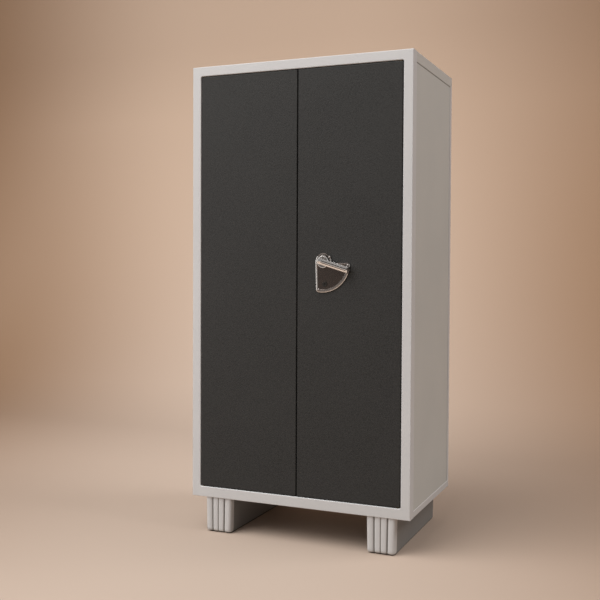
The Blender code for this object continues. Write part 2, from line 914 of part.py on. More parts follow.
def make_handle_plate():
    """The chromed quadrant plate with its raised rim, and its screws."""
    bm = bmesh.new()
    height = plate_thickness + plate_rim - rim_rise
    bm.from_mesh(outline_mesh("plate_blank", [plate_points()], height))
    bmesh.ops.dissolve_limit(bm, angle_limit=flat_angle, verts=bm.verts, edges=bm.edges)
    bmesh.ops.translate(bm, verts=bm.verts, vec=(0, 0, height / 2))
    bm.normal_update()
    face = face_towards(bm, (0, 0, 1))
    bmesh.ops.inset_region(bm, faces=face, thickness=rim_shoulder, depth=rim_rise, use_even_offset=True)
    place = (lock_x, door_front + plate_back, lock_z)
    plate = add_piece("handle_plate", mesh_of(bm, "handle_plate"), "chrome_plate", place, front_view,
                      "right_door")
    bm = bmesh.new()
    bm.from_mesh(outline_mesh("field_blank", [plate_points(rim_width, arc_rim_width)], overrun))
    bmesh.ops.dissolve_limit(bm, angle_limit=flat_angle, verts=bm.verts, edges=bm.edges)
    bmesh.ops.translate(bm, verts=bm.verts, vec=(0, 0, plate_thickness + plate_rim + overrun / 2))
    bm.normal_update()
    face = face_towards(bm, (0, 0, -1))
    bmesh.ops.inset_region(bm, faces=face, thickness=rim_fall, depth=plate_rim, use_even_offset=True)
    field = mesh_of(bm, "plate_field")
    combine(plate, make_cutter("plate_field", mesh=field, place=place, turn=front_view))
    front = door_front + plate_front - overrun
    back = door_front + overrun
    rods = [((lock_x, front, lock_z), (lock_x, back, lock_z), plate_hole_radius)]
    rods.append(((key_x, front, key_z), (key_x, back, key_z), barrel_radius + fit_gap))
    for x, z in screw_places():
        rods.append(((x, front, z), (x, back, z), screw_radius + fit_gap))
    combine(plate, make_cutter("handle_plate_holes", rods=rods))
    profile = [
        (0, screw_head_height), (screw_head_radius / 2, screw_head_height * dome_share),
        (screw_head_radius, screw_head_height / 3), (screw_head_radius, 0), (screw_radius, 0),
        (screw_radius, -screw_length), (0, -screw_length),
    ]
    for index, (x, z) in enumerate(screw_places()):
        name = "plate_screw_" + screw_names[index]
        place = (x, door_front + plate_front - fit_gap, z)
        screw = turned_piece(name, profile, "chrome_plate", place, front_view, "right_door", small_steps)
        head = door_front + plate_front - fit_gap - screw_head_height
        slot = make_cutter(name + "_slot", boxes=[
            ((x - screw_head_radius, head - overrun, z - screw_slot_width / 2),
             (x + screw_head_radius, head + screw_slot_depth, z + screw_slot_width / 2)),
        ])
        combine(screw, slot)


def make_lever():
    """The lever handle: a turned hub and a bevelled, grooved bar, cast as one."""
    corners = [
        (-lever_heel, -lever_heel_half, lever_heel_half * heel_round_share),
        (lever_length, -lever_tip_half, lever_end_radius),
        (lever_length, lever_tip_half, lever_end_radius),
        (-lever_heel, lever_heel_half, lever_heel_half * heel_round_share),
    ]
    thickness = lever_thickness + lever_sink
    bm = bmesh.new()
    bm.from_mesh(outline_mesh("lever_blank", [rounded(corners)], thickness))
    bmesh.ops.dissolve_limit(bm, angle_limit=flat_angle, verts=bm.verts, edges=bm.edges)
    bevel_where(bm, on_plane(2, thickness / 2), lever_edge, lever_segments)
    bevel_where(bm, on_plane(2, -thickness / 2), lever_back_edge)
    middle = door_front + lever_front + thickness / 2
    turn = (quarter_turn, lever_tilt, 0)
    lever = add_piece("lever_handle", mesh_of(bm, "lever_handle"), "chrome_plate",
                      place=(lock_x, middle, lock_z), turn=turn, body="handle")
    hub_profile = [
        (hub_neck_radius, lever_thickness / 2), (hub_neck_radius, 0), (hub_radius - hub_edge, 0),
        (hub_radius - hub_edge / 4, -hub_edge / 4), (hub_radius, -hub_edge),
        (hub_radius, -hub_height), (0, -hub_height), (0, lever_thickness / 2),
    ]
    bm = bmesh.new()
    verts = [bm.verts.new((radius, 0, height)) for radius, height in hub_profile]
    edges = [bm.edges.new(pair) for pair in zip(verts, verts[1:])]
    bmesh.ops.spin(bm, geom=verts + edges, axis=(0, 0, 1), cent=(0, 0, 0), angle=2 * math.pi,
                   steps=hub_steps, use_merge=True)
    bmesh.ops.remove_doubles(bm, verts=bm.verts, dist=weld_distance)
    hub = make_cutter("lever_hub", mesh=closed_mesh(bm, "lever_hub"),
                      place=(lock_x, door_front + hub_front, lock_z), turn=front_view)
    combine(lever, hub, "UNION")
    groove_half = lever_groove_width / 2
    groove = make_cutter("lever_groove", boxes=[
        ((lever_groove_start, -groove_half, thickness / 2 - lever_groove_depth),
         (lever_length - lever_groove_end, groove_half, thickness / 2 + overrun)),
    ], place=(lock_x, middle, lock_z), turn=turn)
    combine(lever, groove)
    side = spindle_side / 2 + fit_gap
    socket_front = door_front + hub_back - spindle_socket - fit_gap
    socket = make_cutter("spindle_socket", boxes=[
        ((lock_x - side, socket_front, lock_z - side), (lock_x + side, door_front, lock_z + side)),
    ])
    combine(lever, socket)
    smooth(lever)


def make_spindle():
    """A square bar that turns the cam, with a round end in the bridge."""
    half = spindle_side / 2
    bm = bmesh.new()
    box_between(bm, (-half, hub_back - spindle_socket, -half), (half, cam_back - door_front, half))
    spindle = add_piece("spindle", mesh_of(bm, "spindle"), "lock_steel", place=(lock_x, door_front, lock_z),
                        body="handle")
    journal = make_cutter("spindle_journal", rods=[
        ((lock_x, cam_front, lock_z), (lock_x, bridge_back, lock_z), journal_radius),
    ])
    combine(spindle, journal, "UNION")


def cam_points():
    """Outline of the cam: a disc with a blocking nose along +X."""
    root = math.asin(nose_root_half / cam_radius)
    points = []
    for step in range(cam_steps + 1):
        angle = root + (2 * half_turn - 2 * root) * step / cam_steps
        points.append((cam_radius * math.cos(angle), cam_radius * math.sin(angle)))
    for step in range(small_steps // 2 + 1):
        angle = -quarter_turn + half_turn * step / (small_steps // 2)
        points.append((nose_length - nose_half + nose_half * math.cos(angle), nose_half * math.sin(angle)))
    return points


def make_cam():
    """The cam plate with its boss and its three crank pins."""
    middle = (cam_front + cam_back) / 2
    cam = add_piece("lock_cam", outline_mesh("lock_cam", [cam_points()], cam_thickness), "lock_steel",
                    place=(lock_x, middle, lock_z), turn=(quarter_turn, -cam_angle, 0), body="handle")
    rods = [((lock_x, skin_back + running_gap, lock_z), (lock_x, middle, lock_z), cam_boss_radius)]
    for angle, end in ((cam_angle - quarter_turn, rod_back), (cam_angle + quarter_turn, rod_back),
                       (cam_angle, bolt_back)):
        x = lock_x + crank_radius * math.cos(angle)
        z = lock_z + crank_radius * math.sin(angle)
        rods.append(((x, middle, z), (x, end + pin_stand, z), crank_pin_radius))
    combine(cam, make_cutter("cam_pins", rods=rods), "UNION")
    side = spindle_side / 2 + fit_gap
    combine(cam, make_cutter("cam_square", boxes=[
        ((lock_x - side, skin_back - overrun / 2, lock_z - side),
         (lock_x + side, cam_back + overrun, lock_z + side)),
    ]))


def rod_outlines(sign, reach):
    """A flat rod with its slotted yoke: bar, yoke and slot, about the lever's axis."""
    outer = rod_inner_edge + rod_width
    slot_half = crank_pin_radius + yoke_play
    low = -crank_rise - slot_half - yoke_wall
    high = -crank_rise + slot_half + yoke_wall
    corners = [
        (outer, low), (yoke_inner_edge, low), (yoke_inner_edge, high),
        (rod_inner_edge, high), (rod_inner_edge, reach), (outer, reach),
    ]
    bar = rounded([(x, y, rod_tip_chamfer) for x, y in corners], fold_segments)
    slot_far = crank_radius + crank_pin_radius + slot_clearance
    slot_near = crank_near - crank_pin_radius - slot_clearance
    slot = box_points((slot_near, -crank_rise - slot_half), (slot_far, -crank_rise + slot_half))
    hole = rounded([(x, y, crank_pin_radius / 2) for x, y in slot])
    return [[(-sign * x, sign * y) for x, y in outline] for outline in (bar, hole)]


def make_rods():
    """Top and bottom rods, their guides, the side bolt and its guide."""
    middle = (rod_front + rod_back) / 2
    hat_front = skin_back + fit_gap
    for sign, end_name, reach, level in (
        (1, "top", door_high - lock_z, door_high - guide_inset),
        (-1, "bottom", lock_z - door_low, door_low + guide_inset),
    ):
        mesh = outline_mesh(end_name + "_rod", rod_outlines(sign, reach), rod_thickness)
        add_piece(end_name + "_rod", mesh, "lock_steel", place=(lock_x, middle, lock_z), turn=front_view,
                  body=end_name + "_rod")
        section = hat_points(rod_width / 2 + running_gap, rod_back + running_gap - hat_front,
                             guide_foot, strap_wall)
        add_piece(end_name + "_rod_guide", outline_mesh("rod_guide", [section], guide_length), "lock_steel",
                  place=(rod_middle(sign), hat_front, level), body="right_door")
    slot_half = crank_pin_radius + yoke_play
    slot_reach = (crank_radius - crank_near) / 2 + crank_pin_radius + slot_clearance
    yoke_half = slot_half + yoke_wall
    yoke_reach = slot_reach + yoke_wall
    tip = door_inner - lock_x
    bar = bolt_height / 2
    corners = [
        (crank_rise + yoke_half, -yoke_reach), (crank_rise + yoke_half, yoke_reach),
        (crank_rise - yoke_half, yoke_reach), (crank_rise - yoke_half, bar), (tip, bar), (tip, -bar),
        (crank_rise - yoke_half, -bar), (crank_rise - yoke_half, -yoke_reach),
    ]
    outline = rounded([(x, y, bolt_corner) for x, y in corners], fold_segments)
    slot = box_points((crank_rise - slot_half, -slot_reach), (crank_rise + slot_half, slot_reach))
    hole = rounded([(x, y, crank_pin_radius / 2) for x, y in slot])
    add_piece("side_bolt", outline_mesh("side_bolt", [outline, hole], bolt_thickness), "lock_steel",
              place=(lock_x, (bolt_front + bolt_back) / 2, bolt_z), turn=front_view, body="side_bolt")
    section = hat_points(bolt_height / 2 + running_gap, bolt_back + running_gap - hat_front,
                         guide_foot, strap_wall)
    add_piece("side_bolt_guide", outline_mesh("bolt_guide", [section], guide_length), "lock_steel",
              place=(bolt_guide_place, hat_front, bolt_z), turn=(0, -quarter_turn, 0), body="right_door")
    section = hat_points(bridge_half, bridge_front - hat_front, bridge_foot, strap_wall)
    bridge = add_piece("lock_bridge", outline_mesh("lock_bridge", [section], bridge_height), "lock_steel",
                       place=(lock_x, hat_front, lock_z), body="right_door")
    combine(bridge, make_cutter("bridge_hole", rods=[
        ((lock_x, bridge_front - overrun / 2, lock_z), (lock_x, bridge_back + overrun, lock_z),
         journal_radius + fit_gap),
    ]))


def make_key_lock():
    """The lock barrel in the plate, its turning plug and the blocking tongue."""
    barrel_back = cam_front - layer_gap - door_front
    field = -plate_field
    bore = plug_radius + fit_gap
    face_low = field + fit_gap
    face_high = face_low + barrel_face_height
    barrel_profile = [
        (barrel_face_radius, face_high), (barrel_face_radius, face_low), (barrel_radius, face_low),
        (barrel_radius, -barrel_back), (bore, -barrel_back), (bore, face_high),
    ]
    place = (key_x, door_front, key_z)
    turned_piece("lock_barrel", barrel_profile, "lock_black", place, front_view, "right_door", small_steps)
    plug_profile = [
        (0, face_high), (plug_radius, face_high), (plug_radius, -barrel_back), (0, -barrel_back),
    ]
    plug = turned_piece("key_plug", plug_profile, "lock_black", place, front_view, "key", small_steps)
    tail = plug_tail / 2
    tongue_front = cam_front
    tongue_back = cam_back
    combine(plug, make_cutter("key_plug_tail", boxes=[
        ((key_x - tail, tongue_front - layer_gap * 2, key_z - tail),
         (key_x + tail, tongue_back, key_z + tail)),
    ]), "UNION")
    face = door_front - face_high
    combine(plug, make_cutter("key_slot", boxes=[
        ((key_x - key_slot_width / 2, face - overrun, key_z - key_slot_height / 2),
         (key_x + key_slot_width / 2, face + key_slot_depth, key_z + key_slot_height / 2)),
    ]))
    corners = [
        (-barrel_radius, -tongue_root_half, tongue_half), (tongue_length, -tongue_half, tongue_half / 2),
        (tongue_length, tongue_half, tongue_half / 2), (-barrel_radius, tongue_root_half, tongue_half),
    ]
    side = tail + fit_gap
    outlines = [rounded(corners), box_points((-side, -side), (side, side))]
    add_piece("lock_tongue", outline_mesh("lock_tongue", outlines, cam_thickness), "lock_steel",
              place=(key_x, (cam_front + cam_back) / 2, key_z), turn=front_view, body="key")


def make_inside():
    """Hat shelf, partition, hanging rod and the shelf bay."""
    shelf_high = body_low + hat_shelf_rise
    shelf_front = front_y + shelf_setback
    shelf_back = back_y - shelf_back_gap
    reach = side_inner - running_gap
    tray = folded_tray("hat_shelf", (-reach, shelf_front, shelf_high - shelf_flange),
                       (reach, shelf_back, shelf_high), [(0, 0, -1)])
    give_wall(add_piece("hat_shelf", tray, "frame_paint"))
    ledge_high = shelf_high - shelf_flange - fit_gap
    for hand, side_name in ((-1, "left"), (1, "right")):
        wall = side_inner - fit_gap
        corners = [
            (wall, ledge_high), (wall - ledge_leg, ledge_high), (wall - ledge_leg, ledge_high - ledge_wall),
            (wall - ledge_wall, ledge_high - ledge_wall), (wall - ledge_wall, ledge_high - ledge_leg),
            (wall, ledge_high - ledge_leg),
        ]
        outline = [(hand * x, z) for x, z in corners]
        ledge = outline_mesh("ledge", [outline], shelf_back - shelf_front)
        add_piece("hat_shelf_ledge_" + side_name, ledge, "frame_paint",
                  place=(0, (shelf_front + shelf_back) / 2, 0), turn=front_view)
    make_partition(shelf_high, shelf_front, shelf_back)
    make_hanging_rod(shelf_high - rod_socket_drop, (shelf_front + shelf_back) / 2)
    make_shelf_bay(ledge_high - ledge_leg - pilaster_margin, shelf_front, shelf_back)


def make_partition(shelf_high, shelf_front, shelf_back):
    """The upright between the hanging space and the shelves."""
    front = shelf_front + sheet + fit_gap + fold_radius
    back = shelf_back - sheet - fit_gap - fold_radius
    low = body_low + sheet + fit_gap
    high = shelf_high - sheet - fit_gap
    corners = [
        (-partition_flange, front, 0), (sheet, front, fold_radius), (sheet, back, fold_radius),
        (-partition_flange, back, 0), (-partition_flange, back - sheet, 0),
        (0, back - sheet, fold_radius - sheet), (0, front + sheet, fold_radius - sheet),
        (-partition_flange, front + sheet, 0),
    ]
    mesh = outline_mesh("partition", [rounded(corners, fold_segments)], high - low)
    add_piece("partition", mesh, "frame_paint", place=(partition_offset, 0, (low + high) / 2))


def make_hanging_rod(level, middle_y):
    """A tube held in a cup on the side panel and a cup on the partition."""
    left = -side_inner + fit_gap
    right = partition_offset - fit_gap
    cup_inner = hanging_rod_radius + fit_gap
    cup_outer = cup_inner + socket_wall
    profile = [
        (0, socket_flange_height), (cup_inner, socket_flange_height), (cup_inner, socket_depth),
        (cup_outer, socket_depth), (cup_outer, socket_flange_height),
        (socket_flange_radius, socket_flange_height), (socket_flange_radius, 0), (0, 0),
    ]
    for side_name, x, turn in (("left", left, quarter_turn), ("right", right, -quarter_turn)):
        turned_piece("rod_socket_" + side_name, profile, "chrome_plate", (x, middle_y, level), (0, turn, 0))
    start = left + socket_flange_height + fit_gap
    length = right - socket_flange_height - fit_gap - start
    bore = hanging_rod_radius - hanging_rod_wall
    tube = [(hanging_rod_radius, length), (hanging_rod_radius, 0), (bore, 0), (bore, length)]
    turned_piece("hanging_rod", tube, "chrome_plate", (start, middle_y, level), (0, quarter_turn, 0))


def make_shelf_bay(high, shelf_front, shelf_back):
    """Slotted pilasters on both sides and shelves that hook into them."""
    low = body_low + pilaster_margin
    wall_left = partition_offset + sheet + fit_gap
    wall_right = side_inner - fit_gap
    stand = pilaster_rise + pilaster_wall
    rows = {"front": shelf_front + pilaster_end_inset, "back": shelf_back - pilaster_end_inset}
    slot_count = int((high - low - pilaster_slot_height) / slot_pitch)
    slot_levels = [low + slot_pitch * (index + 1) - slot_pitch / 2 for index in range(slot_count)]
    section = hat_points(pilaster_half, pilaster_rise, pilaster_foot, pilaster_wall)
    for side_name, wall, turn, crown in (
        ("left", wall_left, -quarter_turn, wall_left + stand),
        ("right", wall_right, quarter_turn, wall_right - stand),
    ):
        for row_name, row in rows.items():
            name = "pilaster_" + side_name + "_" + row_name
            strip = add_piece(name, outline_mesh(name, [section], high - low), "frame_paint",
                              place=(wall, row, (low + high) / 2), turn=(0, 0, turn))
            reach = Vector((pilaster_rise, pilaster_slot_width, pilaster_slot_height)) / 2
            slots = []
            for level in slot_levels:
                middle = Vector((crown, row, level))
                slots.append((middle - reach, middle + reach))
            combine(strip, make_cutter(name + "_slots", boxes=slots))
    left = wall_left + stand + running_gap
    right = wall_right - stand - running_gap
    for name, slot in shelf_slots.items():
        tab_low = slot_levels[slot] - pilaster_slot_height / 2 + fit_gap
        shelf_high = tab_low + tab_height / 2 + shelf_flange / 2
        tray = folded_tray(name, (left, shelf_front + fold_radius, shelf_high - shelf_flange),
                           (right, shelf_back, shelf_high), [(0, 0, -1)])
        shelf = add_piece(name, tray, "frame_paint")
        give_wall(shelf)
        tabs = []
        for near, far in ((left - tab_reach, left + sheet / 2), (right - sheet / 2, right + tab_reach)):
            for row in rows.values():
                tabs.append(((near, row - tab_width / 2, tab_low),
                             (far, row + tab_width / 2, tab_low + tab_height)))
        combine(shelf, make_cutter(name + "_tabs", boxes=tabs), "UNION")


clear_scene()
parts = make_collection("steel_wardrobe")
cutters = make_collection("cutters_and_guides")
bodies = {}
for body_name in body_places:
    make_body(body_name)
make_front_frame()
make_cover_sheets()
make_foot("left", -1)
make_foot("right", 1)
make_doors()
make_hinges()
make_handle_plate()
make_lever()
make_spindle()
make_cam()
make_rods()
make_key_lock()
make_inside()
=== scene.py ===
# %% [markdown]
# # A double-door steel wardrobe, dressed for its portrait
# This lesson takes the packed model of a sheet-steel wardrobe and gives it its looks: a light grey
# enamelled cabinet, two charcoal doors with a fine grain, and a chromed lever on a quadrant plate.
# The packed model is the fixed frame. Its pieces stay where they are, and every new piece is
# placed by measuring them, so nothing has to be fitted by eye.

# %% Load the packed model
import json
import math

import bpy
from mathutils import Matrix, Vector


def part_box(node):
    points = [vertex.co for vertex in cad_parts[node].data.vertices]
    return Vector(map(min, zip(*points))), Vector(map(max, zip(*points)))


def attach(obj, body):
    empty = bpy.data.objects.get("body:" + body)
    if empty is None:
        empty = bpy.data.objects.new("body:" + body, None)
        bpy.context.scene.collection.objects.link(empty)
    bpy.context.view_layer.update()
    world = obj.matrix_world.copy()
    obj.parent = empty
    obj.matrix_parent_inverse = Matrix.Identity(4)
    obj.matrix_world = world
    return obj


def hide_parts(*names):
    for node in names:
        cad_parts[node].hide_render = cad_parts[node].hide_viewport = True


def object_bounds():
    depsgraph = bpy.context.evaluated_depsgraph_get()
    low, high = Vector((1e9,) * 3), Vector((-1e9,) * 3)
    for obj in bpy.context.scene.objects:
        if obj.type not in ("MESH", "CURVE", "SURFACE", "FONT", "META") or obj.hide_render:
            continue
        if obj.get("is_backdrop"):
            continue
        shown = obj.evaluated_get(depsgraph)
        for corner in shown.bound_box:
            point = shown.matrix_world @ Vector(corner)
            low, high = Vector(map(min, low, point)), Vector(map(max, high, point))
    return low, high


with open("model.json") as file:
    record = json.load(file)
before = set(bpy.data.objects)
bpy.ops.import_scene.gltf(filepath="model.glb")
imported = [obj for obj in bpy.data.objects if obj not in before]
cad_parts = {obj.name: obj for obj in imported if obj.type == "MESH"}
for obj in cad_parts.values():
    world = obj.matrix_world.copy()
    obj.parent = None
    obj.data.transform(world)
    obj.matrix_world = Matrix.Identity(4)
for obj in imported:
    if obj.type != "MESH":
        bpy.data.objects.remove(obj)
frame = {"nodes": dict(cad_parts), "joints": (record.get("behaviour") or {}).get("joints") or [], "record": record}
cad_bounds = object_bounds()
nodes = frame["nodes"]
record = frame["record"]
print("nodes:", len(nodes), "box:", [[round(v, 4) for v in corner] for corner in cad_bounds])

# %% [markdown]
# The record of the packed model says which body every node belongs to, such as the cabinet or the
# right door, and which stock it is made of. It also lists the joints. The lever turns about an
# axis given there, so its place is read and not typed again.

# %% Read bodies, stocks and the lever's axis
node_bodies = {node: body for body, group in record["behaviour"]["bodies"].items() for node in group}
node_slots = {part["node"]: part["material_slot"] for part in record["subparts"]}
joint_places = {joint["name"]: Vector(joint["pos_m"]) for joint in frame["joints"]}
lever_axis = joint_places["handle_turn"]
quarter_turn = math.pi / 2
print("bodies:", sorted(set(node_bodies.values())))
print("lever axis:", [round(v, 4) for v in lever_axis])

# %% [markdown]
# A finish is a network of nodes, and most of it is arithmetic on patterns. A small class wraps
# the output socket of a node, so that `1 - mask * 0.3` in Python adds the Math nodes for it.


# %% Sums written on node sockets
class Value:
    """The output socket of a node, ready for sums."""

    def __init__(self, finish, socket):
        self.finish = finish
        self.socket = socket

    def sum(self, operation, first, second):
        return self.finish.add("Math", {"operation": operation}, {0: first, 1: second})

    def __add__(self, other):
        return self.sum("ADD", self, other)

    def __sub__(self, other):
        return self.sum("SUBTRACT", self, other)

    def __rsub__(self, other):
        return self.sum("SUBTRACT", other, self)

    def __mul__(self, other):
        return self.sum("MULTIPLY", self, other)

    def __abs__(self):
        return self.sum("ABSOLUTE", self, 0.0)

    __radd__ = __add__


print("sums ready:", [name for name in vars(Value) if name.startswith("__r")])

# %% [markdown]
# Each finish is one material round the Principled shader. All nodes come from one method, `add`,
# which sets a node's choices first and its inputs after. The patterns read Object coordinates,
# which on these pieces are real metres in the wardrobe's own frame, so a grain of two
# millimetres is two millimetres on every piece.


# %% The finish helper
class Finish:
    """One material, built round its Principled shader."""

    def __init__(self, name, levels):
        self.material = bpy.data.materials.new(name)
        self.material.use_nodes = True
        self.tree = self.material.node_tree
        self.shader = self.tree.nodes["Principled BSDF"]
        for socket, number in levels.items():
            self.shader.inputs[socket].default_value = number
        self.place = self.add("TexCoord", output="Object")

    def add(self, kind, settings=None, inputs=None, output=0):
        node = self.tree.nodes.new("ShaderNode" + kind)
        for name, choice in (settings or {}).items():
            setattr(node, name, choice)
        for socket, value in (inputs or {}).items():
            self.plug(node.inputs[socket], value)
        return Value(self, node.outputs[output])

    def plug(self, socket, value):
        if isinstance(value, Value):
            self.tree.links.new(value.socket, socket)
        else:
            socket.default_value = value

    def drive(self, socket, value):
        self.plug(self.shader.inputs[socket], value)

    def noise(self, scale, detail=2.0, stretch=None):
        place = self.place
        if stretch:
            place = self.add("Mapping", None, {"Vector": place, "Scale": stretch})
        return self.add("TexNoise", None, {"Vector": place, "Scale": scale, "Detail": detail})

    def mix(self, amount, first, second):
        return self.add("Mix", {"data_type": "RGBA"}, {0: amount, 6: first, 7: second}, output=2)

    def step(self, value, low, high):
        return self.add("MapRange", None, {"Value": value, "From Min": low, "From Max": high})

    def axis(self, name):
        return self.add("SeparateXYZ", None, {0: self.place}, output=name)

    def line(self, name, middle, half):
        """A thin band round one value of an axis."""
        return 1 - self.step(abs(self.axis(name) - middle), half * 0.5, half)

    def bump(self, height, strength, distance):
        normal = self.add("Bump", None, {"Height": height, "Strength": strength, "Distance": distance})
        self.drive("Normal", normal)


print("a finish can:", [name for name in vars(Finish) if not name.startswith("_")])

# %% [markdown]
# The cabinet is sprayed with a light grey enamel and baked. Such paint isn't flat: it has the
# soft dimples of sprayed enamel about four millimetres across, and its tone drifts a little
# over a metre. A thin film of dust dulls it near the floor, where the feet stand. A finish can
# also be given one painted line where one sheet laps over the next: painted shade under the
# top cap's lap on the side panels, and a painted highlight along the bottom pan's upper edge.


# %% Cabinet enamel
def cabinet_enamel(name, tint, roughness, painted_line=None):
    """Sprayed enamel, perhaps with a painted line of shade or highlight at a lap: its axis, place, half width and
    tone.
    """
    enamel = Finish(name, {"Specular IOR Level": 0.5, "Coat Weight": 0.05, "Coat Roughness": 0.3})
    drift = enamel.step(enamel.noise(2.2, 3.0), 0.35, 0.65)
    dimples = enamel.noise(260.0, 1.5)
    specks = enamel.step(enamel.noise(900.0, 0.0), 0.62, 0.72)
    dust = 1 - enamel.step(enamel.axis("Z"), 0.0, dust_height)
    darker = tuple(shade * 0.95 for shade in tint)
    dusty = tuple(a * b for a, b in zip(tint, (0.90, 0.86, 0.81)))
    colour = enamel.mix(drift, (*tint, 1), (*darker, 1))
    colour = enamel.mix(specks * 0.12, colour, (*darker, 1))
    colour = enamel.mix(dust * 0.35, colour, (*dusty, 1))
    # The line is painted light: a tone below one paints shade, a tone above one paints a highlight.
    if painted_line:
        axis, middle, half, tone = painted_line
        painted_line_tint = tuple(shade * tone for shade in tint)
        colour = enamel.mix(enamel.line(axis, middle, half), colour, (*painted_line_tint, 1))
    enamel.drive("Base Color", colour)
    enamel.drive("Roughness", roughness + (drift * 0.06) + (dust * 0.12))
    enamel.bump(dimples, 0.10, 0.0006)
    return enamel.material


dust_height = 0.30
grey = (0.500, 0.498, 0.502)
# Painted shade: a darker line on the side panels just under the top cap's lap.
shade_under_cap = ("Z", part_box("top_cap")[0].z - 0.002, 0.0030, 0.48)
# Painted highlight: a lighter line along the upper edge of the bottom pan.
highlight_on_pan_edge = ("Z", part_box("bottom_pan")[1].z - 0.001, 0.0025, 1.35)
frame_enamel = cabinet_enamel("cabinet_enamel", grey, 0.42)
# Painted shade: the side panels get a darker, greener copy of the grey, for sides turned from the key lamp.
side_enamel = cabinet_enamel("side_enamel", (0.453, 0.455, 0.437), 0.44, painted_line=shade_under_cap)
pan_enamel = cabinet_enamel("pan_enamel", grey, 0.42, painted_line=highlight_on_pan_edge)
inner_enamel = cabinet_enamel("inner_enamel", (0.470, 0.466, 0.465), 0.46)
# Painted shade: the foot shells get a much darker grey for the shade under the cabinet.
foot_shade_enamel = cabinet_enamel("foot_shell_enamel", (0.185, 0.181, 0.176), 0.50)
# Painted shade: a darker enamel for the grooves between the ribs of the foot covers.
groove_enamel = cabinet_enamel("groove_enamel", (0.340, 0.330, 0.318), 0.55)
dusty_enamel = cabinet_enamel("dusty_top_enamel", (0.345, 0.338, 0.325), 0.62)
# Painted shade: the same darker copy for the sides of the top cap.
cap_side_enamel = cabinet_enamel("cap_side_enamel", (0.460, 0.456, 0.436), 0.44)
print("enamels:", [material.name for material in bpy.data.materials if "enamel" in material.name])

# %% [markdown]
# The doors have another paint. It is charcoal, nearly matt, and its surface is a fine grain like
# leather: small rounded cells of a few millimetres. The cells come from a Voronoi pattern whose
# place is shaken by noise, so that they don't look drawn with a ruler, and the tops of the
# grain are rubbed a shade lighter than the hollows.


# %% Grained door enamel
def door_enamel(name):
    """Charcoal enamel with a leather grain."""
    enamel = Finish(name, {"Specular IOR Level": 0.18})
    shake = enamel.add("TexNoise", None, {"Vector": enamel.place, "Scale": 90.0, "Detail": 1.0},
                       output="Color")
    shaken = enamel.add("VectorMath", {"operation": "MULTIPLY_ADD"},
                        {0: shake, 1: (0.007, 0.007, 0.007), 2: enamel.place})
    cells = enamel.add("TexVoronoi", {"feature": "SMOOTH_F1"},
                       {"Vector": shaken, "Scale": 210.0, "Smoothness": 0.7})
    grain = 1 - enamel.step(cells, 0.15, 0.75)
    fine = enamel.noise(900.0, 1.0)
    clouds = enamel.step(enamel.noise(3.5, 4.0), 0.3, 0.7)
    patches = enamel.step(enamel.noise(60.0, 3.0), 0.35, 0.7)
    colour = enamel.mix(grain * 0.8, (0.020, 0.0197, 0.0191, 1), (0.038, 0.0374, 0.0362, 1))
    colour = enamel.mix(clouds * 0.30, colour, (0.036, 0.0353, 0.0341, 1))
    colour = enamel.mix(patches * 0.25, colour, (0.023, 0.0227, 0.0219, 1))
    enamel.drive("Base Color", colour)
    enamel.drive("Roughness", 0.46 + (fine * 0.06) + (clouds * 0.05))
    enamel.bump(grain + (fine * 0.25), 0.30, 0.0009)
    return enamel.material


door_paint = door_enamel("grained_door_enamel")
print("door finish:", door_paint.name)

# %% [markdown]
# Chrome plate is a mirror, so most of its look is what it reflects. What belongs to the metal
# itself is a faint warmth, hairline wiping marks, and a slow waviness left by the polishing
# wheel under the plating. Its tint changes from place to place: it is bright where nothing
# rubs, lighter on the sides of the plate's rounded edges as a painted highlight, darker on the
# lever's upper facet as painted shade, dulled on the plate's rim and smoked in its sunk field,
# worn plating that also paints in a dark reflection and shade, so there are five finishes.


# %% Five states of chrome
def plated(name, tint, dark, roughness, wave):
    """Chrome plating with wiping marks and a slow wave."""
    metal = Finish(name, {"Metallic": 1.0})
    haze = metal.step(metal.noise(45.0, 4.0), 0.35, 0.75)
    wipes = metal.noise(90.0, 3.0, stretch=(1.0, 1.0, 14.0))
    metal.drive("Base Color", metal.mix(haze * 0.5, (*tint, 1), (*dark, 1)))
    metal.drive("Roughness", roughness + (haze * 0.06) + (wipes * 0.04))
    metal.bump(metal.noise(38.0, 1.0), wave, 0.0006)
    return metal.material


bright_chrome = plated("bright_chrome", (0.85, 0.84, 0.83), (0.71, 0.70, 0.69), 0.12, 0.04)
# Painted highlight: a lighter chrome for the sides of the plate's rounded edges.
buffed_chrome = plated("buffed_chrome", (0.66, 0.635, 0.61), (0.56, 0.535, 0.51), 0.20, 0.01)
# Painted shade: a darker chrome for the faces of the lever that look up.
handled_chrome = plated("handled_chrome", (0.58, 0.56, 0.545), (0.48, 0.46, 0.445), 0.15, 0.04)
# Worn plating and painted dark reflection: the plate's rim, the hub's face and the screws.
dull_shade_chrome = plated("dulled_chrome", (0.30, 0.275, 0.26), (0.22, 0.20, 0.19), 0.16, 0.05)
# Worn plating and painted shade: the sunk field, the grooves and the edges that look up.
smoked_chrome = plated("smoked_chrome", (0.085, 0.070, 0.063), (0.055, 0.045, 0.040), 0.22, 0.05)
print("platings:", [material.name for material in bpy.data.materials if "chrome" in material.name])

# %% [markdown]
# Behind the door are plainer metals. The lock's flat parts are zinc-plated steel, drawn along
# their length, so the marks are stretched noise. The hinge bushes are bronze, nearly black with
# oil, the lock barrel is blackened, and the soles of the feet are dull rubber with dust in its
# pores.


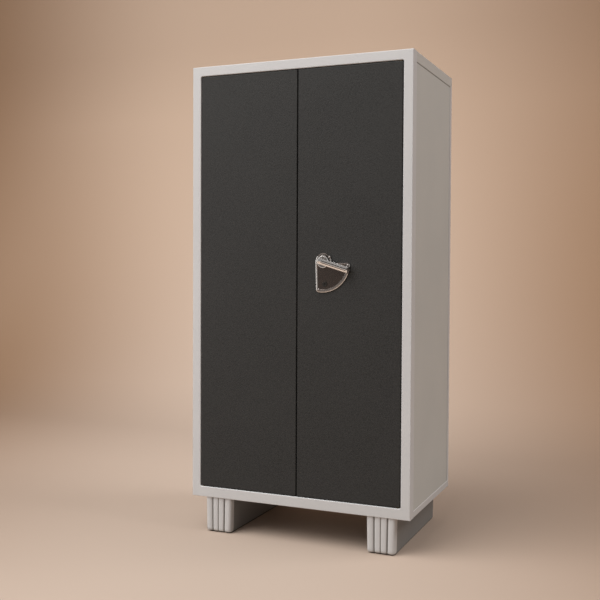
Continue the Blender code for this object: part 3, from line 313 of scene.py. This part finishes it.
# %% Lock steel, bronze, black oxide and rubber
def drawn_metal(name, tint, dark, roughness, stretch):
    """Bare or plated metal with marks along one direction."""
    metal = Finish(name, {"Metallic": 1.0})
    marks = metal.noise(60.0, 5.0, stretch=stretch)
    stain = metal.step(metal.noise(18.0, 4.0), 0.4, 0.75)
    metal.drive("Base Color", metal.mix(stain * 0.6, (*tint, 1), (*dark, 1)))
    metal.drive("Roughness", roughness + (marks * 0.14) + (stain * 0.08))
    metal.bump(marks, 0.12, 0.0003)
    return metal.material


def rubber(name):
    """Dull black rubber."""
    skin = Finish(name, {"Specular IOR Level": 0.3})
    pores = skin.noise(700.0, 3.0)
    dust = skin.step(skin.noise(60.0, 3.0), 0.45, 0.75)
    skin.drive("Base Color", skin.mix(dust * 0.5, (0.018, 0.017, 0.016, 1), (0.050, 0.043, 0.036, 1)))
    skin.drive("Roughness", 0.78 + (pores * 0.18))
    skin.bump(pores, 0.3, 0.0004)
    return skin.material


upright = (9.0, 9.0, 0.6)
turned = (1.0, 1.0, 12.0)
even = (6.0, 6.0, 6.0)
lock_steel = drawn_metal("zinc_plated_steel", (0.45, 0.44, 0.42), (0.30, 0.29, 0.275), 0.30, upright)
bronze = drawn_metal("oiled_bronze", (0.16, 0.115, 0.065), (0.07, 0.050, 0.030), 0.34, turned)
black_oxide = drawn_metal("black_oxide", (0.045, 0.042, 0.040), (0.022, 0.021, 0.020), 0.30, even)
sole_rubber = rubber("sole_rubber")
print("metals:", lock_steel.name, bronze.name, black_oxide.name, sole_rubber.name)

# %% [markdown]
# Every node of the model gets one of these finishes in its own material slot. The stock says
# which, and a short list says where this wardrobe differs: the inside sheets are painted duller
# than the outside, the side panels get a darker, greener copy of the grey as painted shade for
# the sides, and the shells of the feet get a much darker grey as painted shade under the cabinet.

# %% Give the nodes their finishes
stock_finishes = {
    "frame_paint": frame_enamel,
    "door_paint": door_paint,
    "chrome_plate": bright_chrome,
    "lock_steel": lock_steel,
    "brass_bush": bronze,
    "sole_rubber": sole_rubber,
    "lock_black": black_oxide,
}
inner_words = ("shelf", "partition", "pilaster")
own_finishes = {
    "side_panel_left": side_enamel,
    "side_panel_right": side_enamel,
    "bottom_pan": pan_enamel,
    "foot_left": foot_shade_enamel,
    "foot_right": foot_shade_enamel,
}


def node_finish(name):
    """The finish that a node of the packed model gets."""
    if any(word in name for word in inner_words):
        return inner_enamel
    return own_finishes.get(name, stock_finishes[node_slots[name]])


for name, node in nodes.items():
    node.data.materials.clear()
    node.data.materials.append(node_finish(name))
print("finished nodes:", len(nodes))

# %% [markdown]
# The next cells model new pieces with Blender's own tools. An operator works on whatever is
# selected, so `only` selects one piece and nothing else, and `pick` selects faces or edges of it
# by a test on their place, the way a hand would click them.


# %% Selecting in code
def only(piece):
    """Select one piece and make it the active one."""
    bpy.ops.object.select_all(action="DESELECT")
    piece.select_set(True)
    bpy.context.view_layer.objects.active = piece


def pick(piece, kind, test):
    """Enter edit mode with the FACE or EDGE items selected whose points pass a test."""
    only(piece)
    mesh = piece.data
    for item in (*mesh.vertices, *mesh.edges, *mesh.polygons):
        item.select = False
    items = mesh.polygons if kind == "FACE" else mesh.edges
    chosen = [item for item in items if test([mesh.vertices[index].co for index in item.vertices])]
    for item in chosen:
        item.select = True
        for index in item.vertices:
            mesh.vertices[index].select = True
    bpy.ops.object.mode_set(mode="EDIT")
    bpy.ops.mesh.select_mode(type=kind)
    return len(chosen)


def anywhere(points):
    """A test that everything passes."""
    return True


def all_at(axis, value):
    """A test that all points lie at one value of an axis."""
    return lambda points: all(abs(point[axis] - value) < same_place for point in points)


def leave_edit():
    """Back to object mode."""
    bpy.ops.object.mode_set(mode="OBJECT")


same_place = 0.00002
print("tests ready:", all_at(2, 1.0)([Vector((0, 0, 1))]), all_at(2, 1.0)([Vector((0, 0, 2))]))

# %% [markdown]
# A finished piece must sit at the origin with its place in its mesh, as the packed nodes do.
# `settle` applies what was moved or turned, `apply` turns a modifier into mesh, and `dress`
# gives the piece its name, finish and body, and hides the packed node it stands for. Big flat
# sheets next to small rounded edges need weighted normals, or the rounding shades the whole
# sheet. `repaint` gives another finish to some faces of a dressed piece.


# %% Applying, welding and dressing
def settle(piece):
    """Put a piece's place, turn and size into its mesh."""
    only(piece)
    bpy.ops.object.transform_apply(location=True, rotation=True, scale=True)


def apply(piece, kind, **settings):
    """Add a modifier to a piece and apply it."""
    only(piece)
    bpy.ops.object.modifier_add(type=kind)
    modifier = piece.modifiers[-1]
    for name, value in settings.items():
        setattr(modifier, name, value)
    bpy.ops.object.modifier_apply(modifier=modifier.name)


def shape_with(piece, tool, operation="DIFFERENCE"):
    """Cut a piece with a tool, or weld the tool to it, and remove the tool."""
    apply(piece, "BOOLEAN", object=tool, operation=operation, solver="EXACT")
    bpy.data.objects.remove(tool, do_unlink=True)


def dress(piece, name, node, finish, smooth_angle=35):
    """Name a finished piece, shade it, and let it stand for its node."""
    piece.name = name
    piece.data.name = name
    piece.data.materials.clear()
    piece.data.materials.append(finish)
    only(piece)
    bpy.ops.object.shade_smooth_by_angle(angle=math.radians(smooth_angle))
    apply(piece, "WEIGHTED_NORMAL", mode="FACE_AREA", weight=50, keep_sharp=True)
    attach(piece, node_bodies[node])
    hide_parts(node)
    return piece


def repaint(piece, finish, test):
    """Give a finish to the faces of a piece that pass a test, and count them."""
    finishes = piece.data.materials
    if finish.name not in finishes:
        finishes.append(finish)
    chosen = [face for face in piece.data.polygons if test(face)]
    for face in chosen:
        face.material_index = finishes.find(finish.name)
    return len(chosen)


print("finishing helpers:", [helper.__name__ for helper in (settle, apply, shape_with, dress, repaint)])

# %% [markdown]
# Most pieces already have the right shape in the model, but their folds show as flat facets.
# `refine` copies the node's mesh, welds its loose triangles, merges its flat faces, and rounds
# the sharp edges of the sheet by a few tenths of a millimetre, as paint does. The top of the
# cabinet is dusty, and the sides of the cap get the side panels' darker, greener grey, painted
# shade for faces that turn sideways.


# %% Refining a copy of a node
def copy_of(node):
    """A welded copy of a node's mesh as a new object."""
    mesh = nodes[node].data.copy()
    piece = bpy.data.objects.new(node + "_copy", mesh)
    bpy.context.scene.collection.objects.link(piece)
    pick(piece, "FACE", anywhere)
    bpy.ops.mesh.remove_doubles(threshold=weld_distance)
    bpy.ops.mesh.dissolve_limited(angle_limit=flat_angle)
    leave_edit()
    return piece


def round_edges(piece, width, segments, angle=40):
    """Round all edges of a piece that are sharper than an angle."""
    apply(piece, "BEVEL", width=width, segments=segments, limit_method="ANGLE",
          angle_limit=math.radians(angle), use_clamp_overlap=True)


def refine(node, name, width, segments=2, finish=None, smooth_angle=35):
    """A smoother stand-in for a node, with rounded sharp edges."""
    piece = copy_of(node)
    round_edges(piece, width, segments)
    return dress(piece, name, node, finish or node_finish(node), smooth_angle)


def dust_top(piece):
    """Dust on the faces of a piece that form the top of the cabinet."""
    lowest = max(vertex.co.z for vertex in piece.data.vertices) - 0.002
    return repaint(piece, dusty_enamel, lambda face: face.normal.z > 0.9 and face.center.z > lowest)


weld_distance = 0.00001
flat_angle = math.radians(0.5)
paint_round = 0.00015
sheet_pieces = {
    "left_door_panel": "left_door_skin",
    "right_door_panel": "right_door_skin",
    "top_cap": "top_sheet",
    "bottom_pan": "floor_sheet",
    "back_panel": "back_sheet",
    "foot_left": "left_foot_shell",
    "foot_right": "right_foot_shell",
    "hat_shelf": "hat_board",
    "partition": "upright_sheet",
}
for node, name in sheet_pieces.items():
    piece = refine(node, name, paint_round)
    if node == "top_cap":
        dust_top(piece)
        # Painted shade: the cap's faces that turn sideways get the side panels' darker grey.
        repaint(piece, cap_side_enamel, lambda face: abs(face.normal.x) > 0.5)
    print(name, "faces:", len(piece.data.polygons))

# %% [markdown]
# The four members of the front frame meet at mitres that are welded and ground flush, so no line
# shows under the paint. The packed pieces stop a hair short of each other. Here the end
# faces move up to the mitre, are taken off while the long folds are rounded, and are put back
# afterwards, so that the rounding leaves no groove across the corner.

# %% The front frame, closed at its mitres
stile_width = 0.039
bottom_height = 0.0436
top_height = 0.0396
frame_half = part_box("front_stile_right")[1].x
opening_half = frame_half - stile_width
low_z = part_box("front_rail_bottom")[0].z
high_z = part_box("front_rail_top")[1].z
mitres = [
    ((side * frame_half, level), (side * opening_half, inner_level))
    for side in (-1, 1)
    for level, inner_level in ((low_z, low_z + bottom_height), (high_z, high_z - top_height))
]
end_reach = 0.0004
on_line = 0.0002


def mitre_run(mitre):
    """The direction of a mitre in x and z, from its outer end to its inner end."""
    (outer_x, outer_z), (inner_x, inner_z) = mitre
    return Vector((inner_x - outer_x, inner_z - outer_z)).normalized()


def past_mitre(point, mitre):
    """How far a point is above a mitre's line, square to it."""
    (outer_x, outer_z), run = mitre[0], mitre_run(mitre)
    return (point.z - outer_z) * run.x - (point.x - outer_x) * run.y


def on_mitre(mitre, reach):
    """A test that all points lie within a reach of a mitre."""
    return lambda points: all(abs(past_mitre(point, mitre)) < reach for point in points)


def close_member(node, name, along):
    """A frame member whose ends reach its mitres, with rounded folds."""
    piece = copy_of(node)
    for mitre in mitres:
        found = pick(piece, "FACE", on_mitre(mitre, end_reach))
        if found:
            ends = [vertex for vertex in piece.data.vertices if vertex.select]
            gap = past_mitre(ends[0].co, mitre)
            run = mitre_run(mitre)
            move = Vector((0, 0, -gap / run.x)) if along == "Z" else Vector((gap / run.y, 0, 0))
            bpy.ops.transform.translate(value=move)
            bpy.ops.mesh.delete(type="ONLY_FACE")
        leave_edit()
    round_edges(piece, paint_round, 2)
    pick(piece, "FACE", anywhere)
    bpy.ops.mesh.fill_holes(sides=0)
    leave_edit()
    return dress(piece, name, node, frame_enamel)


frame_members = (
    ("front_stile_left", "left_stile", "Z"),
    ("front_stile_right", "right_stile", "Z"),
    ("front_rail_bottom", "bottom_rail", "X"),
    ("front_rail_top", "top_rail", "X"),
)
for node, name, along in frame_members:
    piece = close_member(node, name, along)
    if node != "front_rail_bottom":
        dust_top(piece)
    offs = [abs(past_mitre(vertex.co, mitre)) for vertex in piece.data.vertices for mitre in mitres]
    near = [off for off in offs if off < on_line]
    print(name, "faces:", len(piece.data.polygons), "points on mitres:", len(near),
          "off by up to mm:", round(max(near) * 1000, 4))

# %% [markdown]
# Round pieces are the ones where facets show most: the pins, the bushes, the barrel, the tube
# of the hanging rod and its two cups. The flat parts of the lock are punched from strip,
# which leaves a small rounded edge on them. They all get the same treatment.

# %% Refine the turned and punched pieces
turned_pieces = {
    "rod_socket_left": ("left_rod_cup", 0.0004),
    "rod_socket_right": ("right_rod_cup", 0.0004),
    "hanging_rod": ("coat_tube", 0.0002),
    "lock_barrel": ("barrel_face", 0.0004),
    "key_plug": ("key_core", 0.0002),
    "lock_cam": ("cam_plate", 0.0002),
    "spindle": ("square_bar", 0.0003),
    "top_rod": ("upper_rod", 0.0002),
    "bottom_rod": ("lower_rod", 0.0002),
    "side_bolt": ("sliding_bolt", 0.0002),
}
for side in ("left", "right"):
    for end in ("top", "bottom"):
        turned_pieces[f"{side}_{end}_pivot_pin"] = (f"{side}_{end}_hinge_pin", 0.0003)
        turned_pieces[f"{side}_{end}_pivot_bush"] = (f"{side}_{end}_hinge_bush", 0.0002)
for node, (name, width) in turned_pieces.items():
    refine(node, name, width)
print("refined turned and punched pieces:", len(turned_pieces))

# %% [markdown]
# The quadrant plate keeps its outline from the model. Its raised rim is dulled chrome and its
# sunk field is smoked, worn plating that also paints in a dark reflection, so the faces at the
# level of the field get that finish. The edges of the rim are rounded. Their sides get a lighter
# chrome as a painted highlight, and the parts that face up get the smoked chrome as painted shade.

# %% The quadrant plate
rim_round = 0.0009
field_depth = 0.0018
rim_depth = 0.0020
shade_up_limit = 0.30
plate_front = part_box("handle_plate")[0].y


def in_field(face):
    """A test for the faces at the level of the plate's sunk field."""
    return abs(face.center.y - plate_front - field_depth) < 0.0003


def on_rounded_rim(face):
    """A test for the sloping faces of the plate's rounded edges."""
    return face.center.y < plate_front + rim_depth and 0.10 < -face.normal.y < 0.97


plate = refine("handle_plate", "quadrant_plate", rim_round, 3, finish=dull_shade_chrome)
field_count = repaint(plate, smoked_chrome, in_field)
# Painted highlight on the sides of the rounded rim.
repaint(plate, buffed_chrome, on_rounded_rim)
# Painted shade on the parts of the rim that face up.
repaint(plate, smoked_chrome, lambda face: on_rounded_rim(face) and face.normal.z > shade_up_limit)
print("field faces:", field_count, "of", len(plate.data.polygons))

# %% [markdown]
# The lever is a die-cast bar with a low ridge along its front: two long facets that fall away from
# the grooves, one towards the ceiling and one towards the floor. That is partly why one looks grey
# and the other bright; the upper facet also gets a darker chrome as painted shade. It is made lying
# level and turned afterwards, because a level block is easier to measure. The heel's corners are
# rounded, two sloping cuts leave the facets, and then the lower edge gets a full round and the
# others a small one.

# %% The lever's bar
lever_low, lever_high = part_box("lever_handle")
bar_length = 0.1177
bar_heel = 0.0165
bar_thickness = 0.0178
heel_half = 0.0115
tip_half = 0.0135
heel_radius = 0.0088
facet_slope = 0.19
lower_radius = 0.0046
edge_radius = 0.0014
bar_front = lever_low.y
bar_back = bar_front + bar_thickness
bar_tilt = math.radians(16.6)
tip_x = lever_axis.x + bar_length
heel_x = lever_axis.x - bar_heel


def block(low, high):
    """A block from one corner to the opposite one."""
    low, high = Vector(low), Vector(high)
    bpy.ops.object.select_all(action="DESELECT")
    bpy.ops.mesh.primitive_cube_add(size=1, location=(low + high) / 2)
    piece = bpy.context.object
    piece.scale = high - low
    settle(piece)
    return piece


def round_picked(piece, test, radius, segments):
    """Round the edges of a piece that pass a test."""
    pick(piece, "EDGE", test)
    bpy.ops.mesh.bevel(offset=radius, segments=segments, affect="EDGES")
    leave_edit()


def heel_corner(points):
    """A test for the two edges at the heel that run from front to back."""
    return all_at(0, heel_x)(points) and abs(points[0].y - points[1].y) > bar_thickness / 2


def lower_front(points):
    """A test for the long front edge at the bottom of the bar."""
    long_edge = abs(points[0].x - points[1].x) > bar_length / 2
    in_front = max(point.y for point in points) < bar_front + bar_thickness / 4
    return long_edge and in_front and max(point.z for point in points) < lever_axis.z - heel_half / 2


bar = block((heel_x, bar_front, lever_axis.z - heel_half), (tip_x, bar_back, lever_axis.z + heel_half))
pick(bar, "FACE", all_at(0, tip_x))
bpy.ops.transform.resize(value=(1, 1, tip_half / heel_half),
                         center_override=(tip_x, bar_front, lever_axis.z))
leave_edit()
round_picked(bar, heel_corner, heel_radius, 12)
for side in (-1, 1):
    pick(bar, "FACE", anywhere)
    bpy.ops.mesh.bisect(plane_co=(heel_x, bar_front, lever_axis.z),
                        plane_no=(0, -1, side * facet_slope), use_fill=True, clear_outer=True)
    leave_edit()
round_picked(bar, lower_front, lower_radius, 8)
round_edges(bar, edge_radius, 4, angle=50)
print("bar faces:", len(bar.data.polygons))

# %% [markdown]
# Two grooves run side by side and leave a narrow ridge between them. Each is cut with a long
# thin block whose floor is rounded, and stops short of the heel and of the tip. The same cell
# turns the bar about the lever's axis. With no window an operator turns the other way round, so
# the result is compared with the packed node.

# %% The lever's grooves and tilt
groove_offset = 0.0034
groove_half = 0.0014
groove_depth = 0.0042
groove_start = lever_axis.x - 0.002
groove_end = tip_x - 0.007
tilt_tolerance = 0.004
for side in (-1, 1):
    middle_z = lever_axis.z + side * groove_offset
    groove = block((groove_start, bar_front - 0.003, middle_z - groove_half),
                   (groove_end, bar_front + groove_depth, middle_z + groove_half))
    round_picked(groove, lambda points: all(point.y > bar_front for point in points), 0.0006, 3)
    shape_with(bar, groove)


def tilt_bar(angle):
    """Turn the bar about the lever's axis."""
    pick(bar, "FACE", anywhere)
    bpy.ops.transform.rotate(value=angle, orient_axis="Y", center_override=lever_axis)
    leave_edit()
    return min(vertex.co.z for vertex in bar.data.vertices)


bar_low_end = tilt_bar(bar_tilt)
if abs(bar_low_end - lever_low.z) > tilt_tolerance:
    bar_low_end = tilt_bar(-2 * bar_tilt)
print("bar low end:", round(bar_low_end, 4), "node low end:", round(lever_low.z, 4))

# %% [markdown]
# The hub is a thick disc between the plate and the bar. Its front edge is rounded, and a ring
# of it stands proud, which gives the bright circle round the heel. The face of the disc is inset
# and its middle is pushed back. A short neck reaches into hub and bar, so that one weld
# joins the three, and the square hole for the spindle is cut last. Then the upper facet, the
# hub's sunk face and the tops of its ring, and the grooves get darker chrome as painted shade,
# on faces that look up and in hollows.


# %% The lever's hub
def disc(radius, front_y, back_y, middle, vertices=64):
    """A round disc facing front, about a point of its axis."""
    bpy.ops.object.select_all(action="DESELECT")
    bpy.ops.mesh.primitive_cylinder_add(
        vertices=vertices, radius=radius, depth=back_y - front_y,
        location=(middle.x, (front_y + back_y) / 2, middle.z), rotation=(quarter_turn, 0, 0))
    piece = bpy.context.object
    settle(piece)
    return piece


hub_radius = 0.0247
hub_thickness = 0.009
hub_sink = 0.0016
ring_width = 0.0022
ring_slope = 0.0008
neck_radius = 0.0105
socket_half = 0.0043
socket_depth = 0.0078
hub_back = lever_high.y
hub_front = hub_back - hub_thickness


def on_upper_facet(face):
    """A test for the faces in front of the bar that look up."""
    return face.center.y < bar_front + 0.0060 and face.normal.z > 0.05


def shaded_on_hub(face):
    """A test for the hub's sunk face and the parts of its ring that look up."""
    from_axis = Vector((face.center.x - lever_axis.x, face.center.z - lever_axis.z)).length
    sunk = abs(face.center.y - hub_front - hub_sink) < 0.0001
    ring_top = face.center.y > hub_front - 0.0002 and face.normal.z > shade_up_limit
    return (sunk or ring_top) and from_axis < hub_radius + 0.0002


def in_groove(face):
    """A test for the walls and floors of the bar's two grooves."""
    from_axis = face.center - lever_axis
    off_middle = from_axis.x * math.sin(bar_tilt) + from_axis.z * math.cos(bar_tilt)
    return abs(off_middle) < 0.0052 and bar_front + 0.0009 < face.center.y < bar_front + 0.0044


hub = disc(hub_radius, hub_front, hub_back, lever_axis, 96)
round_picked(hub, all_at(1, hub_front), 0.0011, 4)
pick(hub, "FACE", lambda points: all_at(1, hub_front)(points) and len(points) > 4)
bpy.ops.mesh.inset(thickness=ring_width)
bpy.ops.mesh.inset(thickness=ring_slope)
bpy.ops.transform.translate(value=(0, hub_sink, 0))
leave_edit()
shape_with(hub, disc(neck_radius, hub_front - 0.008, hub_front + 0.004, lever_axis), "UNION")
shape_with(bar, hub, "UNION")
square_hole = block((lever_axis.x - socket_half, hub_back - socket_depth, lever_axis.z - socket_half),
                    (lever_axis.x + socket_half, hub_back + 0.01, lever_axis.z + socket_half))
shape_with(bar, square_hole)
round_edges(bar, 0.0004, 2, angle=45)
lever = dress(bar, "lever", "lever_handle", bright_chrome, 40)
for finish in (dull_shade_chrome, smoked_chrome, handled_chrome):
    lever.data.materials.append(finish)
# Painted shade: darker chrome on the upper facet, the hub's face and ring tops, and the grooves.
shaded_parts = ((handled_chrome, on_upper_facet), (dull_shade_chrome, shaded_on_hub), (smoked_chrome, in_groove))
for finish, test in shaded_parts:
    print(finish.name, "faces:", repaint(lever, finish, test), "of", len(lever.data.polygons))

# %% [markdown]
# Three screws hold the plate. Each has a domed head with a straight slot. A dome is made from
# a sphere cut in half and flattened, the slot is cut across it, and a shank goes on behind.
# The slots point different ways, as screws do that are tightened and not aligned.


# %% The plate screws
dome_rise = 0.0022
shank_radius = 0.0020
slot_depth = 0.0020
slot_width = 0.0012


def screw_at(node, angle):
    """A slotted dome-head screw in the place of a node, its slot turned by an angle."""
    low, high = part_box(node)
    middle = (low + high) / 2
    radius = (high.x - low.x) / 2
    head_back = Vector((middle.x, low.y + dome_rise, middle.z))
    bpy.ops.object.select_all(action="DESELECT")
    bpy.ops.mesh.primitive_uv_sphere_add(segments=48, ring_count=24, radius=radius, location=head_back,
                                         rotation=(quarter_turn, 0, 0))
    screw = bpy.context.object
    settle(screw)
    pick(screw, "FACE", anywhere)
    bpy.ops.mesh.bisect(plane_co=head_back, plane_no=(0, 1, 0), use_fill=True, clear_outer=True)
    leave_edit()
    pick(screw, "FACE", anywhere)
    bpy.ops.transform.resize(value=(1, dome_rise / radius, 1), center_override=head_back)
    leave_edit()
    shape_with(screw, disc(shank_radius, head_back.y - 0.0001, high.y, middle, 24), "UNION")
    bpy.ops.object.select_all(action="DESELECT")
    bpy.ops.mesh.primitive_cube_add(size=1, location=(middle.x, low.y, middle.z), rotation=(0, angle, 0))
    slot = bpy.context.object
    slot.scale = (radius * 2.2, slot_depth, slot_width)
    settle(slot)
    shape_with(screw, slot)
    return screw


for word, angle in (("foot", 0.5), ("tip", 1.2), ("boss", -0.4)):
    node = "plate_screw_" + word
    # The screws get the darker rim chrome, painted shade that tames their highlights.
    screw = dress(screw_at(node, angle), word + "_screw", node, dull_shade_chrome)
    print(screw.name, "faces:", len(screw.data.polygons))

# %% [markdown]
# The feet have pressed covers with four upright ribs. The model's cover has the right section,
# taper and toe, in flat strips. Its refined copy is shaded smooth up to a wide angle, so that the
# ribs read as rounded while the grooves between them stay crisp. The faces between the ribs get
# a darker enamel, painted shade in the grooves.

# %% The ribbed foot covers
outer_rib = 0.022
groove_near = 0.0032
groove_far = 0.0095


def between_ribs(node):
    """A test for the faces of a foot cover that lie in its grooves."""
    low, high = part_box(node)

    def test(face):
        inside = low.x + outer_rib < face.center.x < high.x - outer_rib
        return inside and groove_near < face.center.y - low.y < groove_far

    return test


for side in ("left", "right"):
    node = f"foot_cover_{side}"
    piece = refine(node, f"{side}_ribbed_cover", 0.0003, finish=frame_enamel, smooth_angle=42)
    # Painted shade in the grooves between the ribs.
    grooved = repaint(piece, groove_enamel, between_ribs(node))
    print(piece.name, "faces:", len(piece.data.polygons), "in grooves:", grooved)

# %% [markdown]
# The room is a plain warm paper sweep: a floor that curves up into a wall far behind the wardrobe.
# It is one plane whose far edge is extruded upwards and whose fold is bevelled into a wide cove.
# The paper's colour is lightest behind the wardrobe and darker to the sides, a painted fall-off of
# the light. The bend faces the lamps more squarely than the floor and the wall do, and in evenly
# toned paper it would show as a band.
# Two lists of levels even that out: one along the height of the wall and one along the depth of
# the floor.


# %% The paper sweep
wall_levels = ((0.0, 0.701), (0.12, 0.660), (0.35, 0.618), (0.8, 0.570),
               (1.5, 0.522), (2.4, 0.476), (3.4, 0.440), (4.6, 0.389))
ground_levels = ((0.6, 0.486), (1.6, 0.472), (2.6, 0.527))
blend_height = 2.77


def level_along(paper, value, levels):
    """A level that runs straight from one given point of a value to the next."""
    level = levels[0][1]
    for (here, first), (there, second) in zip(levels, levels[1:]):
        level = (paper.step(value, here, there) * (second - first)) + level
    return level


def sweep_finish():
    """Warm paper with a painted fall-off of the light towards its sides."""
    paper = Finish("sweep_paper", {"Roughness": 0.9, "Specular IOR Level": 0.1})
    soft = {"interpolation_type": "SMOOTHSTEP"}
    height = paper.axis("Z")
    depth = paper.axis("Y")
    black = (0.0, 0.0, 0.0, 1)
    # Painted light: the wall darkens away from a line behind the wardrobe.
    aside = abs(paper.axis("X") + 2.78) * 0.235
    wall_falloff = paper.add("MapRange", soft, {"Value": aside, "From Min": 0.20, "From Max": 1.11})
    wall = paper.mix(wall_falloff, (0.988, 0.734, 0.560, 1), (0.476, 0.278, 0.160, 1))
    wall = paper.mix(level_along(paper, height, wall_levels), black, wall)
    # Painted light: the floor darkens to both sides of the wardrobe.
    across = abs((paper.axis("X") * 0.672) + (depth * 0.253) + 0.255)
    ground_falloff = paper.add("MapRange", soft, {"Value": across, "From Min": 0.12, "From Max": 2.20})
    ground_falloff = ground_falloff * paper.step(depth, -1.7, -0.9)
    ground = paper.mix(ground_falloff, (0.822, 0.650, 0.534, 1), (0.362, 0.211, 0.119, 1))
    ground = paper.mix(level_along(paper, depth, ground_levels), black, ground)
    tone = paper.mix(paper.step(height, 0.0, blend_height), ground, wall)
    fibres = paper.noise(120.0, 3.0)
    paper.drive("Base Color", paper.mix(fibres * 0.05, tone, (0.35, 0.26, 0.19, 1)))
    paper.bump(fibres, 0.05, 0.001)
    return paper.material


floor_size = 18
wall_y = 5.2
wall_height = 7.0
cove_radius = 3.6
bpy.ops.object.select_all(action="DESELECT")
bpy.ops.mesh.primitive_plane_add(size=floor_size, location=(0, wall_y - floor_size / 2, 0))
sweep = bpy.context.object
settle(sweep)
pick(sweep, "EDGE", all_at(1, wall_y))
bpy.ops.mesh.extrude_region_move(TRANSFORM_OT_translate={"value": (0, 0, wall_height)})
leave_edit()
round_picked(sweep, lambda points: all_at(1, wall_y)(points) and all_at(2, 0)(points), cove_radius, 40)
only(sweep)
bpy.ops.object.shade_smooth()
sweep.name = "paper_sweep"
sweep.data.materials.append(sweep_finish())
sweep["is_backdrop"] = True
print("sweep faces:", len(sweep.data.polygons))

# %% [markdown]
# The light is plain and soft, as in a product portrait: a wide key lamp high on the left in
# front, a weaker one on the right for the side panel, a faint one low on the left and an even
# world. The key is high, so that neither the doors nor the chrome mirror it into the camera, and
# the lamps are large, so that small rounded edges of chrome mirror them without sparkling.


# %% Lamps and world
def soft_lamp(name, place, aim, size, power, tint):
    """A square area lamp aimed at a point."""
    bpy.ops.object.select_all(action="DESELECT")
    bpy.ops.object.light_add(type="AREA", location=place)
    lamp = bpy.context.object
    lamp.name = name
    lamp.data.size = size
    lamp.data.energy = power
    lamp.data.color = tint
    lamp.rotation_euler = (Vector(aim) - Vector(place)).to_track_quat("-Z", "Y").to_euler()
    return lamp


lamps = [
    soft_lamp("key_lamp", place=(-4.13, -5.29, 10.85), aim=(0.0, 0.0, 0.9),
              size=10.0, power=1860, tint=(1.0, 0.995, 0.985)),
    soft_lamp("fill_lamp", place=(8.0, 1.5, 10.0), aim=(0.4, 0.2, 0.6),
              size=6.0, power=700, tint=(1.0, 1.0, 1.0)),
    soft_lamp("left_lamp", place=(-4.1, -3.5, 2.2), aim=(-0.4, -0.3, 1.0),
              size=3.6, power=62, tint=(1.0, 0.99, 0.98)),
]
world_level = 0.40
world = bpy.data.worlds.new("soft_room")
bpy.context.scene.world = world
world.use_nodes = True
background = world.node_tree.nodes["Background"]
background.inputs["Color"].default_value = (1.0, 0.975, 0.95, 1)
background.inputs["Strength"].default_value = world_level
print("lamp powers:", {lamp.name: lamp.data.energy for lamp in lamps}, "world level:", world_level)

# %% [markdown]
# The camera stands to the right of the wardrobe at chest height. Its place was solved from eight
# corners of the cabinet in the portrait, and the portrait's frame is cropped off-centre, which a
# lens shift of a few hundredths gives. Depth of field stays off.

# %% The camera
camera_place = Vector((1.4736, -3.4888, 1.159))
camera_yaw = math.radians(21.791)
camera_pitch = math.radians(-1.53)
camera_roll = math.radians(0.333)
frame_pixels = 600
crop_right = 40
crop_up = 15.1
ahead = Vector((-math.sin(camera_yaw) * math.cos(camera_pitch),
                math.cos(camera_yaw) * math.cos(camera_pitch),
                math.sin(camera_pitch)))
level_right = Vector((math.cos(camera_yaw), math.sin(camera_yaw), 0))
level_up = level_right.cross(ahead)
right = level_right * math.cos(camera_roll) + level_up * math.sin(camera_roll)
up = level_up * math.cos(camera_roll) - level_right * math.sin(camera_roll)

bpy.ops.object.select_all(action="DESELECT")
bpy.ops.object.camera_add()
camera = bpy.context.object
camera.name = "portrait_camera"
camera.matrix_world = Matrix((
    (right.x, up.x, -ahead.x, camera_place.x),
    (right.y, up.y, -ahead.y, camera_place.y),
    (right.z, up.z, -ahead.z, camera_place.z),
    (0, 0, 0, 1),
))
camera.data.sensor_width = 36
camera.data.lens = 51.958
camera.data.shift_x = -crop_right / frame_pixels
camera.data.shift_y = -crop_up / frame_pixels
camera.data.clip_end = 60
camera.data.dof.use_dof = False
bpy.context.scene.camera = camera
bpy.context.scene.view_settings.view_transform = "Standard"
shifts = [round(shift, 4) for shift in (camera.data.shift_x, camera.data.shift_y)]
print("lens:", round(camera.data.lens, 2), "shift:", shifts)

# %% [markdown] Last, the dressed wardrobe is measured against the packed one, because dressing
# must never make the object bigger.

# %% Measure and finish
bpy.ops.object.select_all(action="DESELECT")
visual_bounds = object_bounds()
boxes = {"cad": [list(corner) for corner in cad_bounds], "visual": [list(corner) for corner in visual_bounds]}
growth = [round((b - a) * 1000, 2) for a, b in zip(boxes["cad"][1], boxes["visual"][1])]
print("growth of the high corner in mm:", growth)
